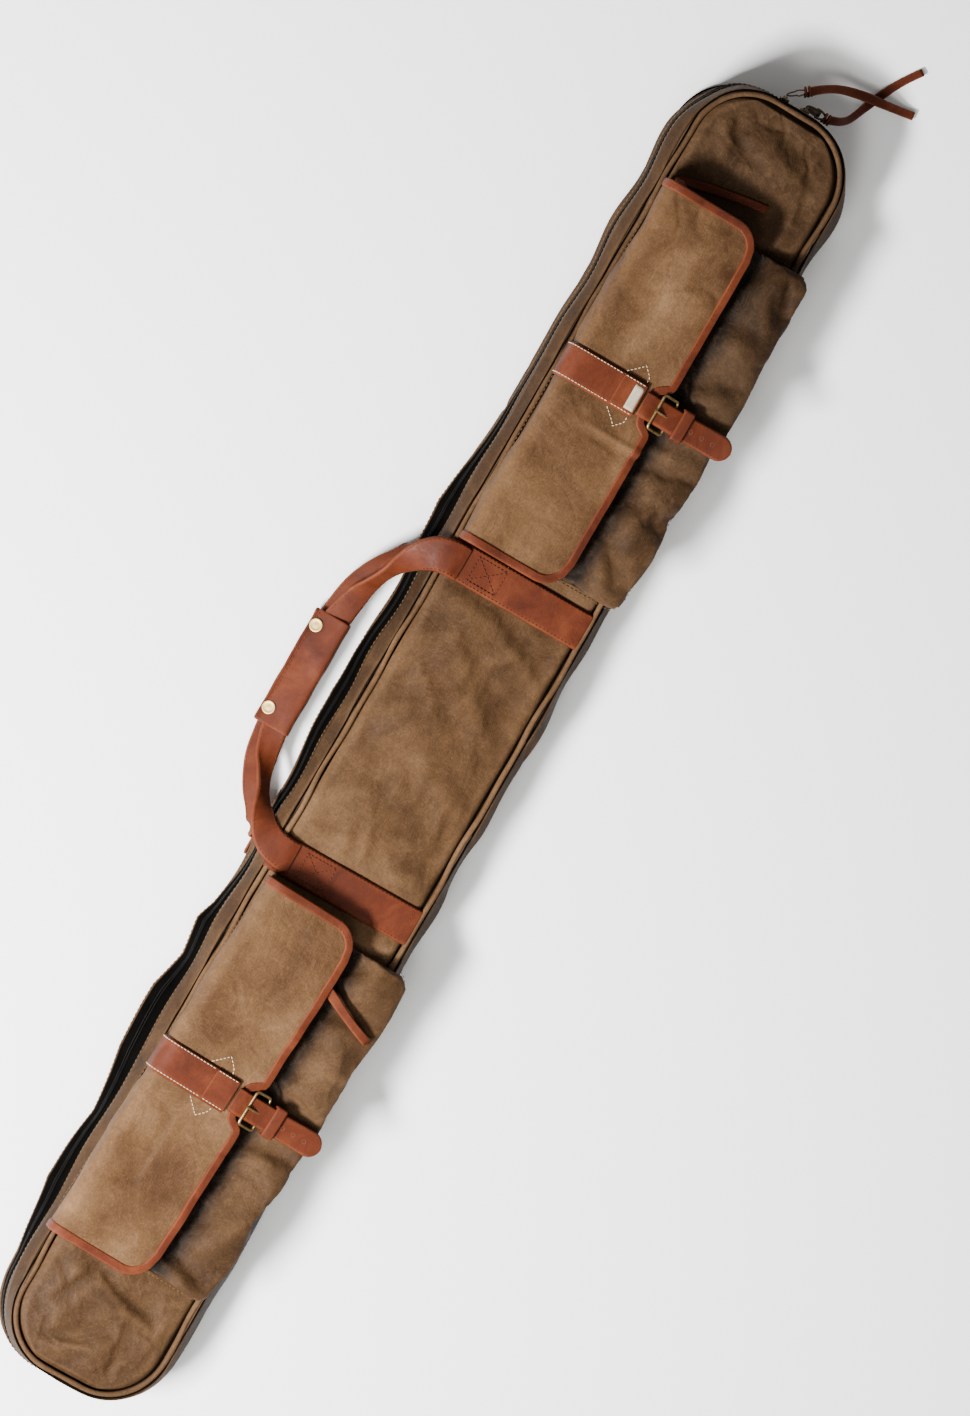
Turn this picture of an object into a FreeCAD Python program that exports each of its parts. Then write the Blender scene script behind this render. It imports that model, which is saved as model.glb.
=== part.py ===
"""Soft cue case with two flap pockets, leather straps and a double carrying handle.

Frame: the case lies on its back, +Z up. X runs along it (-X is the end where the zip is opened),
-Y is the zip and handle side and +Y the folding side. The origin is the centre of the back face.
"""

import FreeCAD, Part
import math
import os
import re

import Sketcher

V = FreeCAD.Vector
Rule = Sketcher.Constraint

# Driving dimensions, in millimetres and degrees.
SIZES = {
    # panels, piping and gussets
    "panel_length": 1320, "panel_width": 146, "corner_radius": 54, "case_height": 66,
    "middle_length": 1336.4, "middle_width": 182.4, "middle_radius": 70,
    "panel_thick": 3, "canvas_thick": 2.5, "cord_size": 4.4, "band_thick": 2,
    "foam_thick": 6, "lining_thick": 1, "foam_inset": 5,
    # zip
    "zip_low": 24, "zip_high": 42, "tape_thick": 1.5, "teeth_half": 0.9, "zip_gap": 0.3,
    "zip_start": -607, "zip_end": 620, "divider_length": 1100, "divider_thick": 8,
    "tab_wide": 12, "tab_thick": 1.4, "tab_high": 8.4, "side_near": 60, "side_far": 110,
    # pockets
    "pocket_length": 350, "pocket_back": 72, "pocket_front": 90, "pocket_top": 91.5,
    "pocket_floor": 66.2, "pocket_foot": 76, "fold_low": 73, "fold_high": 84, "lip_top": 96,
    "pocket_zip_y": -25, "pocket_zip_length": 310,
    "pocket_zip_width": 12, "pocket_slider_x": -140, "pull_half_long": 5, "pull_half_wide": 4,
    "pull_high": 3.4,
    # flaps
    "flap_length": 374, "flap_edge": 25, "flap_under": 97, "flap_thick": 2, "flap_radius": 29,
    "binding_width": 8, "notch_half": 20, "notch_end": 12,
    # straps and buckles
    "wide_band": 34, "strap_width": 25.4, "strap_tip": 100, "band_end": 8, "overlay": 32,
    "strap_dip": 52, "slot_half": 2.4,
    "wire": 2.6, "buckle_width": 36.6, "buckle_depth": 21.8, "heel_y": 34.5, "heel_z": 94.4,
    "buckle_tilt": 27, "buckle_corner": 4.5, "loop_inner": 1.75, "loop_outer": 2.6,
    "prong_radius": 1.1, "prong_half": 2, "chape_half": 12, "chape_split": 2.6,
    "chape_length": 28, "chape_thick": 2.2, "keeper_y": 47, "keeper_length": 12,
    "keeper_half": 15.4, "keeper_wall": 2,
    # handle
    "handle_band_width": 36, "handle_band_reach": 72, "handle_axis_y": -97, "handle_axis_z": 30,
    "handle_tilt": 27.4, "strap_gap": 1.7, "strap_thick": 3, "grip_length": 116,
    "grip_width": 35, "grip_half": 7.6, "grip_wall": 2.5, "grip_centre": 30.4,
    "snap_radius": 6.2, "snap_thick": 2, "snap_reach": 43, "snap_offset": 9,
    "band_bend": 5.4, "band_inner": 4.2, "drop_outer": 3.4, "drop_inner": 1.2,
    # main zip sliders and pullers
    "slider_long": 9, "slider_high": 10, "slider_thick": 5, "puller_wide": 3, "puller_thick": 1.6,
    "thong_radius": 1.8,
}
POCKETS = {"upper": (-364, 0, 0), "lower": (364, -5, -2.5)}  # x, y and yaw of each pocket
HANDLE_BANDS = {"upper": -158.5, "lower": 151.5}
HANDLE_LOOP = [(-174, -2), (-150, -29), (-70, -42), (70, -42), (143, -29), (167, -2),
               (135, -2), (112, -13), (62, -19), (-62, -19), (-118, -13), (-142, -2)]

doc = FreeCAD.newDocument("cue_case")
sheet = doc.addObject("Spreadsheet::Sheet", "sheet")
for row, (name, size) in enumerate(SIZES.items(), 1):
    sheet.set(f"A{row}", name)
    sheet.set(f"B{row}", str(size))
    sheet.setAlias(f"B{row}", name)
doc.recompute()
parts = []


def cells(text):
    """The expression with each size's name read from the sheet."""
    return re.sub(r"[a-z][a-z_]+", lambda m: f"sheet.{m[0]}" if m[0] in SIZES else m[0], str(text))


def value(text):
    """The expression's value now, as a plain number."""
    result = parts[-1].evalExpression(cells(text))
    return float(getattr(result, "Value", result))


def bind(item, **sizes):
    for name, text in sizes.items():
        item.setExpression(name, cells(text))


def add(kind, label):
    item = doc.addObject(kind, label)
    item.Label = label
    parts.append(item)
    return item


def sketch(body, role="XY_Plane", offset="0"):
    """A sketch on one of the body's own origin planes, moved along its normal."""
    s = body.newObject("Sketcher::SketchObject", f"{body.Name}_sketch")
    s.AttachmentSupport = [(next(o for o in body.Origin.OriginFeatures if o.Role == role), "")]
    s.MapMode = "FlatFace"
    s.setExpression(".AttachmentOffset.Base.z", cells(offset))
    return s


def hold(s, kind, *where, text):
    """A dimension of the sketch that follows an expression."""
    index = s.addConstraint(Rule(kind, *where, value(text)))
    s.setExpression(f"Constraints[{index}]", cells(text))


def place(s, geometry, end, x, y):
    hold(s, "DistanceX", -1, 1, geometry, end, text=x)
    hold(s, "DistanceY", -1, 1, geometry, end, text=y)


def rounded(s, length, width, radius):
    """A rectangle with four round corners about the sketch's origin."""
    x, y, r = value(length) / 2, value(width) / 2, value(radius)
    first = s.GeometryCount
    quarter = math.pi / 2

    def corner(cx, cy, turn):
        circle = Part.Circle(V(cx, cy, 0), V(0, 0, 1), r)
        s.addGeometry(Part.ArcOfCircle(circle, turn * quarter, (turn + 1) * quarter))

    s.addGeometry(Part.LineSegment(V(r - x, -y, 0), V(x - r, -y, 0)))
    corner(x - r, r - y, -1)
    s.addGeometry(Part.LineSegment(V(x, r - y, 0), V(x, y - r, 0)))
    corner(x - r, y - r, 0)
    s.addGeometry(Part.LineSegment(V(x - r, y, 0), V(r - x, y, 0)))
    corner(r - x, y - r, 1)
    s.addGeometry(Part.LineSegment(V(-x, y - r, 0), V(-x, r - y, 0)))
    corner(r - x, r - y, 2)
    for i in range(8):
        s.addConstraint(Rule("Tangent", first + i, 2, first + (i + 1) % 8, 1))
    for i in (0, 4):
        s.addConstraint(Rule("Horizontal", first + i))
        s.addConstraint(Rule("Vertical", first + i + 2))
    for i in (3, 5, 7):
        s.addConstraint(Rule("Equal", first + 1, first + i))
    s.addConstraint(Rule("Symmetric", first + 1, 3, first + 5, 3, -1, 1))
    hold(s, "Radius", first + 1, text=radius)
    hold(s, "DistanceX", first + 6, 1, first + 2, 1, text=length)
    hold(s, "DistanceY", first, 1, first + 4, 1, text=width)


def polygon(s, points):
    """A closed outline through points whose coordinates are expressions."""
    first = s.GeometryCount
    spots = [V(value(x), value(y), 0) for x, y in points]
    count = len(points)
    for i in range(count):
        s.addGeometry(Part.LineSegment(spots[i], spots[(i + 1) % count]))
    for i in range(count):
        s.addConstraint(Rule("Coincident", first + i, 2, first + (i + 1) % count, 1))
    for i, (x, y) in enumerate(points):
        place(s, first + i, 1, x, y)


def flap_outline(s, length, low, high, radius):
    """A rectangle whose two far corners are round."""
    first = s.GeometryCount
    x, y0, y1, r = value(length) / 2, value(low), value(high), value(radius)
    right = Part.Circle(V(x - r, y1 - r, 0), V(0, 0, 1), r)
    left = Part.Circle(V(r - x, y1 - r, 0), V(0, 0, 1), r)
    s.addGeometry(Part.LineSegment(V(-x, y0, 0), V(x, y0, 0)))
    s.addGeometry(Part.LineSegment(V(x, y0, 0), V(x, y1 - r, 0)))
    s.addGeometry(Part.ArcOfCircle(right, 0, math.pi / 2))
    s.addGeometry(Part.LineSegment(V(x - r, y1, 0), V(r - x, y1, 0)))
    s.addGeometry(Part.ArcOfCircle(left, math.pi / 2, math.pi))
    s.addGeometry(Part.LineSegment(V(-x, y1 - r, 0), V(-x, y0, 0)))
    for i in (0, 5):
        s.addConstraint(Rule("Coincident", first + i, 2, first + (i + 1) % 6, 1))
    for i in (1, 2, 3, 4):
        s.addConstraint(Rule("Tangent", first + i, 2, first + i + 1, 1))
    s.addConstraint(Rule("Horizontal", first + 3))
    for i in (1, 5):
        s.addConstraint(Rule("Vertical", first + i))
    s.addConstraint(Rule("Equal", first + 2, first + 4))
    hold(s, "Radius", first + 2, text=radius)
    place(s, first, 1, f"-({length})/2", low)
    place(s, first, 2, f"({length})/2", low)
    hold(s, "DistanceY", -1, 1, first + 3, 1, text=high)


def pad(body, s, length, symmetric=False):
    feature = body.newObject("PartDesign::Pad", f"{body.Name}_pad")
    feature.Profile = s
    feature.SideType = "Symmetric" if symmetric else "One side"
    bind(feature, Length=length)
    return feature


def pocket(body, s, length, symmetric=False):
    """Cuts below the sketch, or on both sides of it."""
    feature = body.newObject("PartDesign::Pocket", f"{body.Name}_cut")
    feature.Profile = s
    feature.SideType = "Symmetric" if symmetric else "One side"
    bind(feature, Length=length)
    return feature


def round_off(body, base, radius):
    """Rounds the edges that run along a ring, to make it a cord or a wire."""
    doc.recompute()
    around = [f"Edge{i + 1}" for i, edge in enumerate(base.Shape.Edges)
              if abs(edge.tangentAt(edge.FirstParameter).z) < 0.5]
    feature = body.newObject("PartDesign::Fillet", f"{body.Name}_round")
    feature.Base = (base, around)
    bind(feature, Radius=radius)


def slab(label, outline, low, thick, hole=None):
    """A plate with round corners, or a ring where hole is given."""
    body = add("PartDesign::Body", label)
    s = sketch(body, offset=low)
    rounded(s, *outline)
    if hole:
        rounded(s, *hole)
    pad(body, s, thick)
    return body


def inset(outline, distance):
    """The same rounded rectangle, smaller all round."""
    length, width, radius = outline
    return f"({length})-2*({distance})", f"({width})-2*({distance})", f"({radius})-({distance})"


def flare(label, low_outline, low, high_outline, high, wall):
    """A gusset: a sloping wall between two outlines."""
    body = add("PartDesign::Body", label)
    for kind, gap in (("AdditiveLoft", "0"), ("SubtractiveLoft", wall)):
        ends = []
        for outline, level in ((low_outline, low), (high_outline, high)):
            s = sketch(body, offset=level)
            rounded(s, *inset(outline, gap))
            ends.append(s)
        loft = body.newObject(f"PartDesign::{kind}", f"{label}_{kind}")
        loft.Profile, loft.Sections, loft.Ruled = ends[0], [ends[1]], True
    return body


def profile(label, points, length, centre="0"):
    """A section in Y and Z, made as long as asked along X, about its centre."""
    body = add("PartDesign::Body", label)
    s = sketch(body, "YZ_Plane", centre)
    polygon(s, points)
    pad(body, s, length, symmetric=True)
    return body


def block(name, centre, low, size):
    """A box: centre in X and Y, low face in Z."""
    item = doc.addObject("Part::Box", name)
    bind(item, Length=size[0], Width=size[1], Height=size[2])
    for axis, text, span in (("x", centre[0], size[0]), ("y", centre[1], size[1])):
        item.setExpression(f".Placement.Base.{axis}", cells(f"{text}-({span})/2"))
    item.setExpression(".Placement.Base.z", cells(low))
    return item


PANEL = ("panel_length", "panel_width", "corner_radius")
SEAM = inset(PANEL, "-cord_size/2")
MIDDLE = ("middle_length", "middle_width", "middle_radius")


def panels():
    """Both halves of the shell: panel, piping, gusset, foam and lining."""
    halves = {
        "back": ("0", "band_thick", "band_thick+panel_thick",
                 "band_thick+panel_thick+foam_thick"),
        "front": ("case_height-panel_thick", "case_height-cord_size",
                  "case_height-panel_thick-foam_thick",
                  "case_height-panel_thick-foam_thick-lining_thick"),
    }
    for side, (panel_low, cord_low, foam_low, lining_low) in halves.items():
        panel = slab(f"{side}_panel", inset(PANEL, "cord_size/2+0.1"), panel_low,
                     f"{foam_low}-({panel_low})" if side == "back" else "panel_thick")
        cord = slab(f"{side}_piping", SEAM, cord_low, "cord_size", inset(SEAM, "cord_size"))
        round_off(cord, cord.Tip, "cord_size*0.44")
        if side == "back":
            for centre in HANDLE_BANDS.values():
                s = sketch(panel, offset="band_thick")
                polygon(s, [(f"{centre}{a}(handle_band_width/2+0.2)", f"{b}panel_width/2")
                            for a, b in (("-", "-"), ("+", "-"), ("+", ""), ("-", ""))])
                pocket(panel, s, "band_thick+1")
        slab(f"{side}_foam", inset(PANEL, "foam_inset"), foam_low, "foam_thick")
        slab(f"{side}_lining", inset(PANEL, "foam_inset"), lining_low, "lining_thick")
    flare("back_gusset", SEAM, "band_thick+cord_size", MIDDLE, "zip_low", "canvas_thick")
    flare("front_gusset", MIDDLE, "zip_high", SEAM, "case_height-cord_size", "canvas_thick")
    divider_high = "case_height-panel_thick-foam_thick-3"
    divider_low = "band_thick+panel_thick+foam_thick+lining_thick"
    slab("inner_divider", ("divider_length", "divider_thick", "divider_thick*0.45"), divider_low,
         f"{divider_high}-({divider_low})")


def main_zip():
    """Tapes and teeth round three sides, the fabric hinge on the fourth, and the end tabs."""
    half = {"lower": ("zip_low", "case_height/2-teeth_half-zip_gap", "case_height/2-zip_gap"),
            "upper": ("case_height/2+teeth_half+zip_gap", "zip_high", "case_height/2+zip_gap")}
    span, middle = "(zip_end-zip_start)", "(zip_end+zip_start)/2"
    for side, (low, high, teeth) in half.items():
        teeth_low = f"{teeth}-teeth_half" if side == "lower" else teeth
        for label, start, height, gap, wall in (
            (f"zip_tape_{side}", low, f"{high}-({low})", "0", "tape_thick"),
            (f"zip_teeth_{side}", teeth_low, "teeth_half", "0.2", "tape_thick*2"),
        ):
            outline = inset(MIDDLE, gap)
            body = slab(label, outline, start, height, inset(outline, wall))
            s = sketch(body, offset=f"{start}+{height}")
            polygon(s, [(f"{middle}{a}{span}/2", y) for a, y in
                        (("-", "side_near"), ("+", "side_near"), ("+", "side_far"), ("-", "side_far"))])
            pocket(body, s, height)
    hinge = [("middle_width/2-tape_thick", "zip_low"), ("middle_width/2", "zip_low"),
             ("middle_width/2", "zip_high"), ("middle_width/2-tape_thick", "zip_high")]
    profile("hinge_gusset", hinge, f"{span}-2", middle)
    tabs = add("Part::Compound", "zip_end_tabs")
    tabs.Links = [block(f"tab_{end}", (end, "middle_width/2+1"), "zip_low",
                        ("tab_wide", "tab_thick", "tab_high")) for end in ("zip_start", "zip_end")]


def on_pocket(item, side):
    """Moves a piece made about its pocket's centre to that pocket's place."""
    x, y, yaw = POCKETS[side]
    item.Placement = FreeCAD.Placement(V(x, y, 0), FreeCAD.Rotation(V(0, 0, 1), yaw))


def pocket_group(side):
    """A bellows pocket with its zip, its flap and the strap that closes it."""
    shell = profile(f"pocket_{side}", [
        ("-pocket_back", "pocket_floor"), ("pocket_foot", "pocket_floor"),
        ("pocket_front-2", "fold_low"), ("pocket_front", "fold_high"),
        ("pocket_front-10", "pocket_top"), ("4-pocket_back", "pocket_top"),
        ("3-pocket_back", "lip_top"), ("-pocket_back", "lip_top")], "pocket_length")
    s = sketch(shell, "YZ_Plane")
    wall = "canvas_thick"
    polygon(s, [(f"{wall}-pocket_back", "side_near"), (f"pocket_foot-{wall}", "side_near"),
                (f"pocket_foot-{wall}", "pocket_floor+1.5"),
                (f"pocket_front-2-{wall}", "fold_low+1"), (f"pocket_front-{wall}", "fold_high-1"),
                ("pocket_front-11", f"pocket_top-{wall}"),
                (f"{wall}-pocket_back", f"pocket_top-{wall}")])
    pocket(shell, s, "pocket_length-2*canvas_thick", symmetric=True)
    s = sketch(shell, offset="pocket_top+1")
    mouth = [(f"{a}pocket_zip_length/2", f"pocket_zip_y{b}pocket_zip_width/2")
             for a, b in (("-", "-"), ("", "-"), ("", "+"), ("-", "+"))]
    polygon(s, mouth)
    pocket(shell, s, "canvas_thick+2")
    low, high = "pocket_top-canvas_thick+0.4", "pocket_top-0.8"
    near, far = "pocket_zip_y-pocket_zip_width/2+0.1", "pocket_zip_y+pocket_zip_width/2-0.1"
    tape = profile(f"pocket_zip_{side}", [(near, low), (far, low), (far, high), (near, high)],
                   "pocket_zip_length-0.2")
    slider = add("PartDesign::Body", f"pocket_slider_{side}")
    s = sketch(slider, offset="pocket_top-0.4")
    polygon(s, [(f"pocket_slider_x{a}pull_half_long", f"pocket_zip_y{b}pull_half_wide")
                for a, b in (("-", "-"), ("+", "-"), ("+", "+"), ("-", "+"))])
    pad(slider, s, "pull_high")
    for item in (shell, tape, slider):
        on_pocket(item, side)


def flap_group(side):
    canvas = add("PartDesign::Body", f"flap_{side}")
    s = sketch(canvas, offset="flap_under")
    flap_outline(s, "flap_length-2*binding_width", "1-pocket_back", "flap_edge-binding_width",
                 "flap_radius-binding_width")
    pad(canvas, s, "flap_thick")
    binding = add("PartDesign::Body", f"flap_binding_{side}")
    s = sketch(binding, offset="flap_under-0.4")
    flap_outline(s, "flap_length", "1-pocket_back", "flap_edge", "flap_radius")
    pad(binding, s, "flap_thick+0.8")
    s = sketch(binding, offset="flap_under+flap_thick+0.4")
    flap_outline(s, "flap_length-2*binding_width+0.2", "-pocket_back-2",
                 "flap_edge-binding_width+0.1", "flap_radius-binding_width")
    pocket(binding, s, "flap_thick+1")
    for body in (canvas, binding):
        s = sketch(body, offset="flap_under+flap_thick+1")
        polygon(s, [(f"{a}notch_half", y) for a, y in
                    (("-", "notch_end"), ("", "notch_end"), ("", "flap_edge+2"),
                     ("-", "flap_edge+2"))])
        pocket(body, s, "flap_thick+3")
    top = "flap_under+flap_thick"
    band = profile(f"flap_band_{side}", [
        ("1-pocket_back", f"{top}+0.1"), ("band_end", f"{top}+0.1"),
        ("band_end", f"{top}+2*band_thick"), ("band_end-overlay", f"{top}+2*band_thick"),
        ("band_end-overlay-0.5", f"{top}+band_thick"), ("1-pocket_back", f"{top}+band_thick")],
        "wide_band")
    strap = profile(f"buckle_strap_{side}", [
        ("band_end+0.3", f"{top}+0.3"), ("flap_edge-1", f"{top}+0.3"), ("heel_y+2", "heel_z+3"),
        ("strap_dip", "heel_z+1.8"), ("strap_tip", "heel_z-0.4"), ("strap_tip", "heel_z+1.6"),
        ("strap_dip", "heel_z+3.8"), ("heel_y+2", "heel_z+5"), ("flap_edge-1", f"{top}+2.3"),
        ("band_end+0.3", f"{top}+2.3")], "strap_width")
    s = sketch(strap, offset=f"{top}+8")
    polygon(s, [(f"{a}slot_half", y) for a, y in
                (("-", "flap_edge-8"), ("", "flap_edge-8"), ("", "heel_y+1"), ("-", "heel_y+1"))])
    pocket(strap, s, "20")
    for item in (canvas, binding, band, strap):
        on_pocket(item, side)


def ring(label, centre_y, centre_z, inner, outer, spans, extra=None):
    """Leather or wire loops round the heel bar, one for each span in X."""
    pieces = []
    for number, (start, end) in enumerate(spans):
        rods = []
        for kind, radius in (("outer", outer), ("inner", inner)):
            rod = doc.addObject("Part::Cylinder", f"{label}_{kind}{number}")
            bind(rod, Radius=radius, Height=f"{end}-({start})")
            rod.setExpression(".Placement.Base.x", cells(start))
            rod.setExpression(".Placement.Base.y", cells(centre_y))
            rod.setExpression(".Placement.Base.z", cells(centre_z))
            rod.Placement.Rotation = FreeCAD.Rotation(V(0, 1, 0), 90)
            rods.append(rod)
        if extra:
            joined = doc.addObject("Part::Fuse", f"{label}_joined{number}")
            joined.Base, joined.Tool = rods[0], extra[number]
            rods[0] = joined
        cut = doc.addObject("Part::Cut", f"{label}_cut{number}")
        cut.Base, cut.Tool = rods
        pieces.append(cut)
    return pieces


def buckle_group(side):
    """Wire frame, prong, the chape that holds the heel bar, and the keeper."""
    frame = add("PartDesign::Body", f"buckle_frame_{side}")
    outline = ("buckle_width", "buckle_depth", "buckle_corner")
    s = sketch(frame, offset="-wire/2")
    rounded(s, *outline)
    rounded(s, *inset(outline, "wire"))
    round_off(frame, pad(frame, s, "wire"), "wire*0.44")
    x, y, yaw = POCKETS[side]
    pocket_place = FreeCAD.Placement(V(x, y, 0), FreeCAD.Rotation(V(0, 0, 1), yaw))
    heel = FreeCAD.Placement(V(0, value("heel_y"), value("heel_z")),
                             FreeCAD.Rotation(V(1, 0, 0), -value("buckle_tilt")))
    back = FreeCAD.Placement(V(0, -value("buckle_depth/2-wire/2"), 0), FreeCAD.Rotation())
    frame.Placement = pocket_place * heel * back

    prong = add("Part::Fuse", f"buckle_prong_{side}")
    tongue = doc.addObject("Part::Cylinder", f"tongue_{side}")
    bind(tongue, Radius="prong_radius", Height="buckle_depth")
    tongue.Placement = FreeCAD.Placement(V(0, -1, value("wire/2+1.2")),
                                         FreeCAD.Rotation(V(1, 0, 0), 90))
    prong.Base = ring(f"prong_loop_{side}", "0", "0", "loop_inner", "loop_outer",
                      [("-prong_half", "prong_half")])[0]
    prong.Tool = tongue
    prong.Placement = pocket_place * heel

    chape = add("Part::Compound", f"buckle_chape_{side}")
    spans = [("-chape_half", "-chape_split"), ("chape_split", "chape_half")]
    tails = [block(f"chape_tail_{side}{n}", (f"({a}+({b}))/2", "heel_y+chape_length/2+2"),
                   "pocket_top+0.1", (f"{b}-({a})", "chape_length", "chape_thick"))
             for n, (a, b) in enumerate(spans)]
    chape.Links = ring(f"chape_loop_{side}", "heel_y", "heel_z", "loop_inner", "loop_outer",
                       spans, tails)
    on_pocket(chape, side)

    keeper = add("PartDesign::Body", f"strap_keeper_{side}")
    s = sketch(keeper, "XZ_Plane", "-keeper_y")
    low, high = "pocket_top+2.5", "heel_z+7"
    for half, bottom, roof in (("keeper_half", low, high),
                               ("(keeper_half-keeper_wall)", f"{low}+1", f"{high}-1.2")):
        polygon(s, [(f"-{half}", bottom), (half, bottom), (half, roof), (f"-{half}", roof)])
    pad(keeper, s, "keeper_length", symmetric=True)
    on_pocket(keeper, side)


def handle():
    """Leather bands sewn across both panels, and the two loops that meet in the grip."""
    reach = "handle_band_reach"
    drop_y, drop_z = "middle_width/2", "zip_high-1"
    for side, centre in HANDLE_BANDS.items():
        top = "case_height"
        profile(f"front_handle_band_{side}", [
            (reach, f"{top}+0.1"), (reach, f"{top}+band_thick"),
            ("-panel_width/2-band_bend", f"{top}+band_thick"), (f"-{drop_y}-drop_outer", drop_z),
            (f"-{drop_y}-drop_inner", drop_z), ("-panel_width/2-band_inner", f"{top}+0.1")],
            "handle_band_width", centre)
        profile(f"back_handle_band_{side}", [
            (reach, "0"), ("-panel_width/2-band_bend", "0"), (f"-{drop_y}-drop_outer", "zip_low+1"),
            (f"-{drop_y}-drop_inner", "zip_low+1"), ("-panel_width/2-band_inner", "band_thick-0.1"),
            (reach, "band_thick-0.1")], "handle_band_width", centre)
    turn = FreeCAD.Rotation(V(1, 0, 0), value("handle_tilt"))
    spot = FreeCAD.Placement(V(0, value("handle_axis_y"), value("handle_axis_z")), turn)
    for side, low in (("front", "strap_gap"), ("back", "-strap_gap-strap_thick")):
        loop = add("PartDesign::Body", f"handle_loop_{side}")
        s = sketch(loop, offset=low)
        polygon(s, HANDLE_LOOP)
        pad(loop, s, "strap_thick")
        loop.Placement = spot
    wrap = add("PartDesign::Body", "grip_wrap")
    s = sketch(wrap, "YZ_Plane")
    for y, z in (("grip_width/2", "grip_half"), ("grip_width/2-grip_wall", "grip_half-grip_wall")):
        polygon(s, [(f"-grip_centre-({y})", f"-({z})"), (f"-grip_centre+{y}", f"-({z})"),
                    (f"-grip_centre+{y}", z), (f"-grip_centre-({y})", z)])
    pad(wrap, s, "grip_length", symmetric=True)
    wrap.Placement = spot
    caps = []
    for number, sign in enumerate(("-", "")):
        cap = doc.addObject("Part::Cylinder", f"snap_cap{number}")
        bind(cap, Radius="snap_radius", Height="snap_thick")
        cap.setExpression(".Placement.Base.x", cells(f"{sign}snap_reach"))
        cap.setExpression(".Placement.Base.y", cells("-grip_centre-snap_offset"))
        cap.setExpression(".Placement.Base.z", cells("grip_half+0.05"))
        caps.append(cap)
    snaps = add("Part::Compound", "grip_snaps")
    snaps.Links = caps
    snaps.Placement = spot


def zip_slider(name, y, tip, puller_length):
    """A slider outside the teeth, and its puller, which turns about an upright pin."""
    slider = add("PartDesign::Body", f"zip_slider_{name}")
    s = sketch(slider, offset="case_height/2-slider_high/2")
    face = "-middle_length/2-0.4"
    polygon(s, [(f"{face}{x}", f"{y}{dy}slider_long/2") for x, dy in
                (("-slider_thick", "-"), ("", "-"), ("", "+"), ("-slider_thick", "+"))])
    pad(slider, s, "slider_high")
    puller = add("PartDesign::Body", f"zip_puller_{name}")
    s = sketch(puller, offset="-puller_thick/2")
    rounded(s, puller_length, "puller_wide", "puller_wide*0.45")
    pad(puller, s, "puller_thick")
    pin = V(value(f"{face}-slider_thick-puller_wide/2-0.2"), float(y), value("case_height/2"))
    way = V(*tip) - V(pin.x, pin.y, 0)
    turn = FreeCAD.Rotation(V(1, 0, 0), way)
    forward = FreeCAD.Placement(V(float(puller_length) / 2, 0, 0), FreeCAD.Rotation())
    puller.Placement = FreeCAD.Placement(pin, turn) * forward


# Each thong's route, from its slider or puller to its free end.
THONGS = {
    "thong_long": [(-688.5, 12.5, 32), (-694, 19, 30.5), (-700, 28, 27), (-706, 40, 21.5),
                   (-710, 54, 16), (-713, 68, 13.2), (-715, 82, 12.2), (-717, 96, 8),
                   (-719, 107, 4), (-721, 118, 2.6)],
    "thong_short": [(-675.3, 41, 31.5), (-678, 50, 29.5), (-684, 60, 22), (-694, 67, 13.5),
                    (-706, 73.5, 6.5), (-719, 80, 3), (-733, 87, 2.2), (-747, 95.5, 2.2),
                    (-760, 105, 2.2)],
    "pocket_thong_upper": [(-510, -26, 93.6), (-522, -32, 94.2), (-535, -42, 94.4),
                           (-546, -54, 92), (-553, -64, 84), (-556, -65, 74), (-558.5, -54, 68.6),
                           (-563, -36, 68.4), (-567, -16, 68.6), (-571, 4, 68.4),
                           (-573.5, 23, 68.6)],
    "pocket_thong_lower": [(225, -18, 94), (229, -4, 94.4), (233, 12, 94.3), (239, 29, 94.3),
                           (248, 47, 94), (256, 65, 94.1), (262, 82, 93.2)],
}


def rounded_route(points):
    """Straight runs joined by arcs, each arc as large as its two runs allow."""
    points = [V(*p) for p in points]
    edges, radii, last = [], [], points[0]
    for before, corner, after in zip(points, points[1:], points[2:]):
        back, ahead = before - corner, after - corner
        reach = 0.45 * min(back.Length, ahead.Length)
        turn = math.pi - back.getAngle(ahead)
        start = corner + back.normalize() * reach
        end = corner + ahead.normalize() * reach
        radius = reach / math.tan(turn / 2)
        middle = (start + end) * 0.5 - corner
        sag = radius / math.cos(turn / 2) - radius
        edges.append(Part.LineSegment(last, start).toShape())
        edges.append(Part.Arc(start, corner + middle.normalize() * sag, end).toShape())
        radii.append(radius)
        last = end
    edges.append(Part.LineSegment(last, points[-1]).toShape())
    return Part.Wire(edges), radii


def thongs():
    """The leather thongs of the four sliders, as plain tubes along their routes."""
    radius = sheet.get("thong_radius")
    for name, points in THONGS.items():
        path, radii = rounded_route(points)
        start = V(*points[0])
        circle = Part.Circle(start, V(*points[1]) - start, radius)
        section = Part.Wire([circle.toShape()])
        tube = add("Part::Feature", name)
        tube.Shape = path.makePipeShell([section], True, False)
        expected = math.pi * radius ** 2 * path.Length
        print(f"{name}: length {path.Length:.1f}, least radius {min(radii):.1f},"
              f" volume ratio {tube.Shape.Volume / expected:.4f}")


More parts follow.
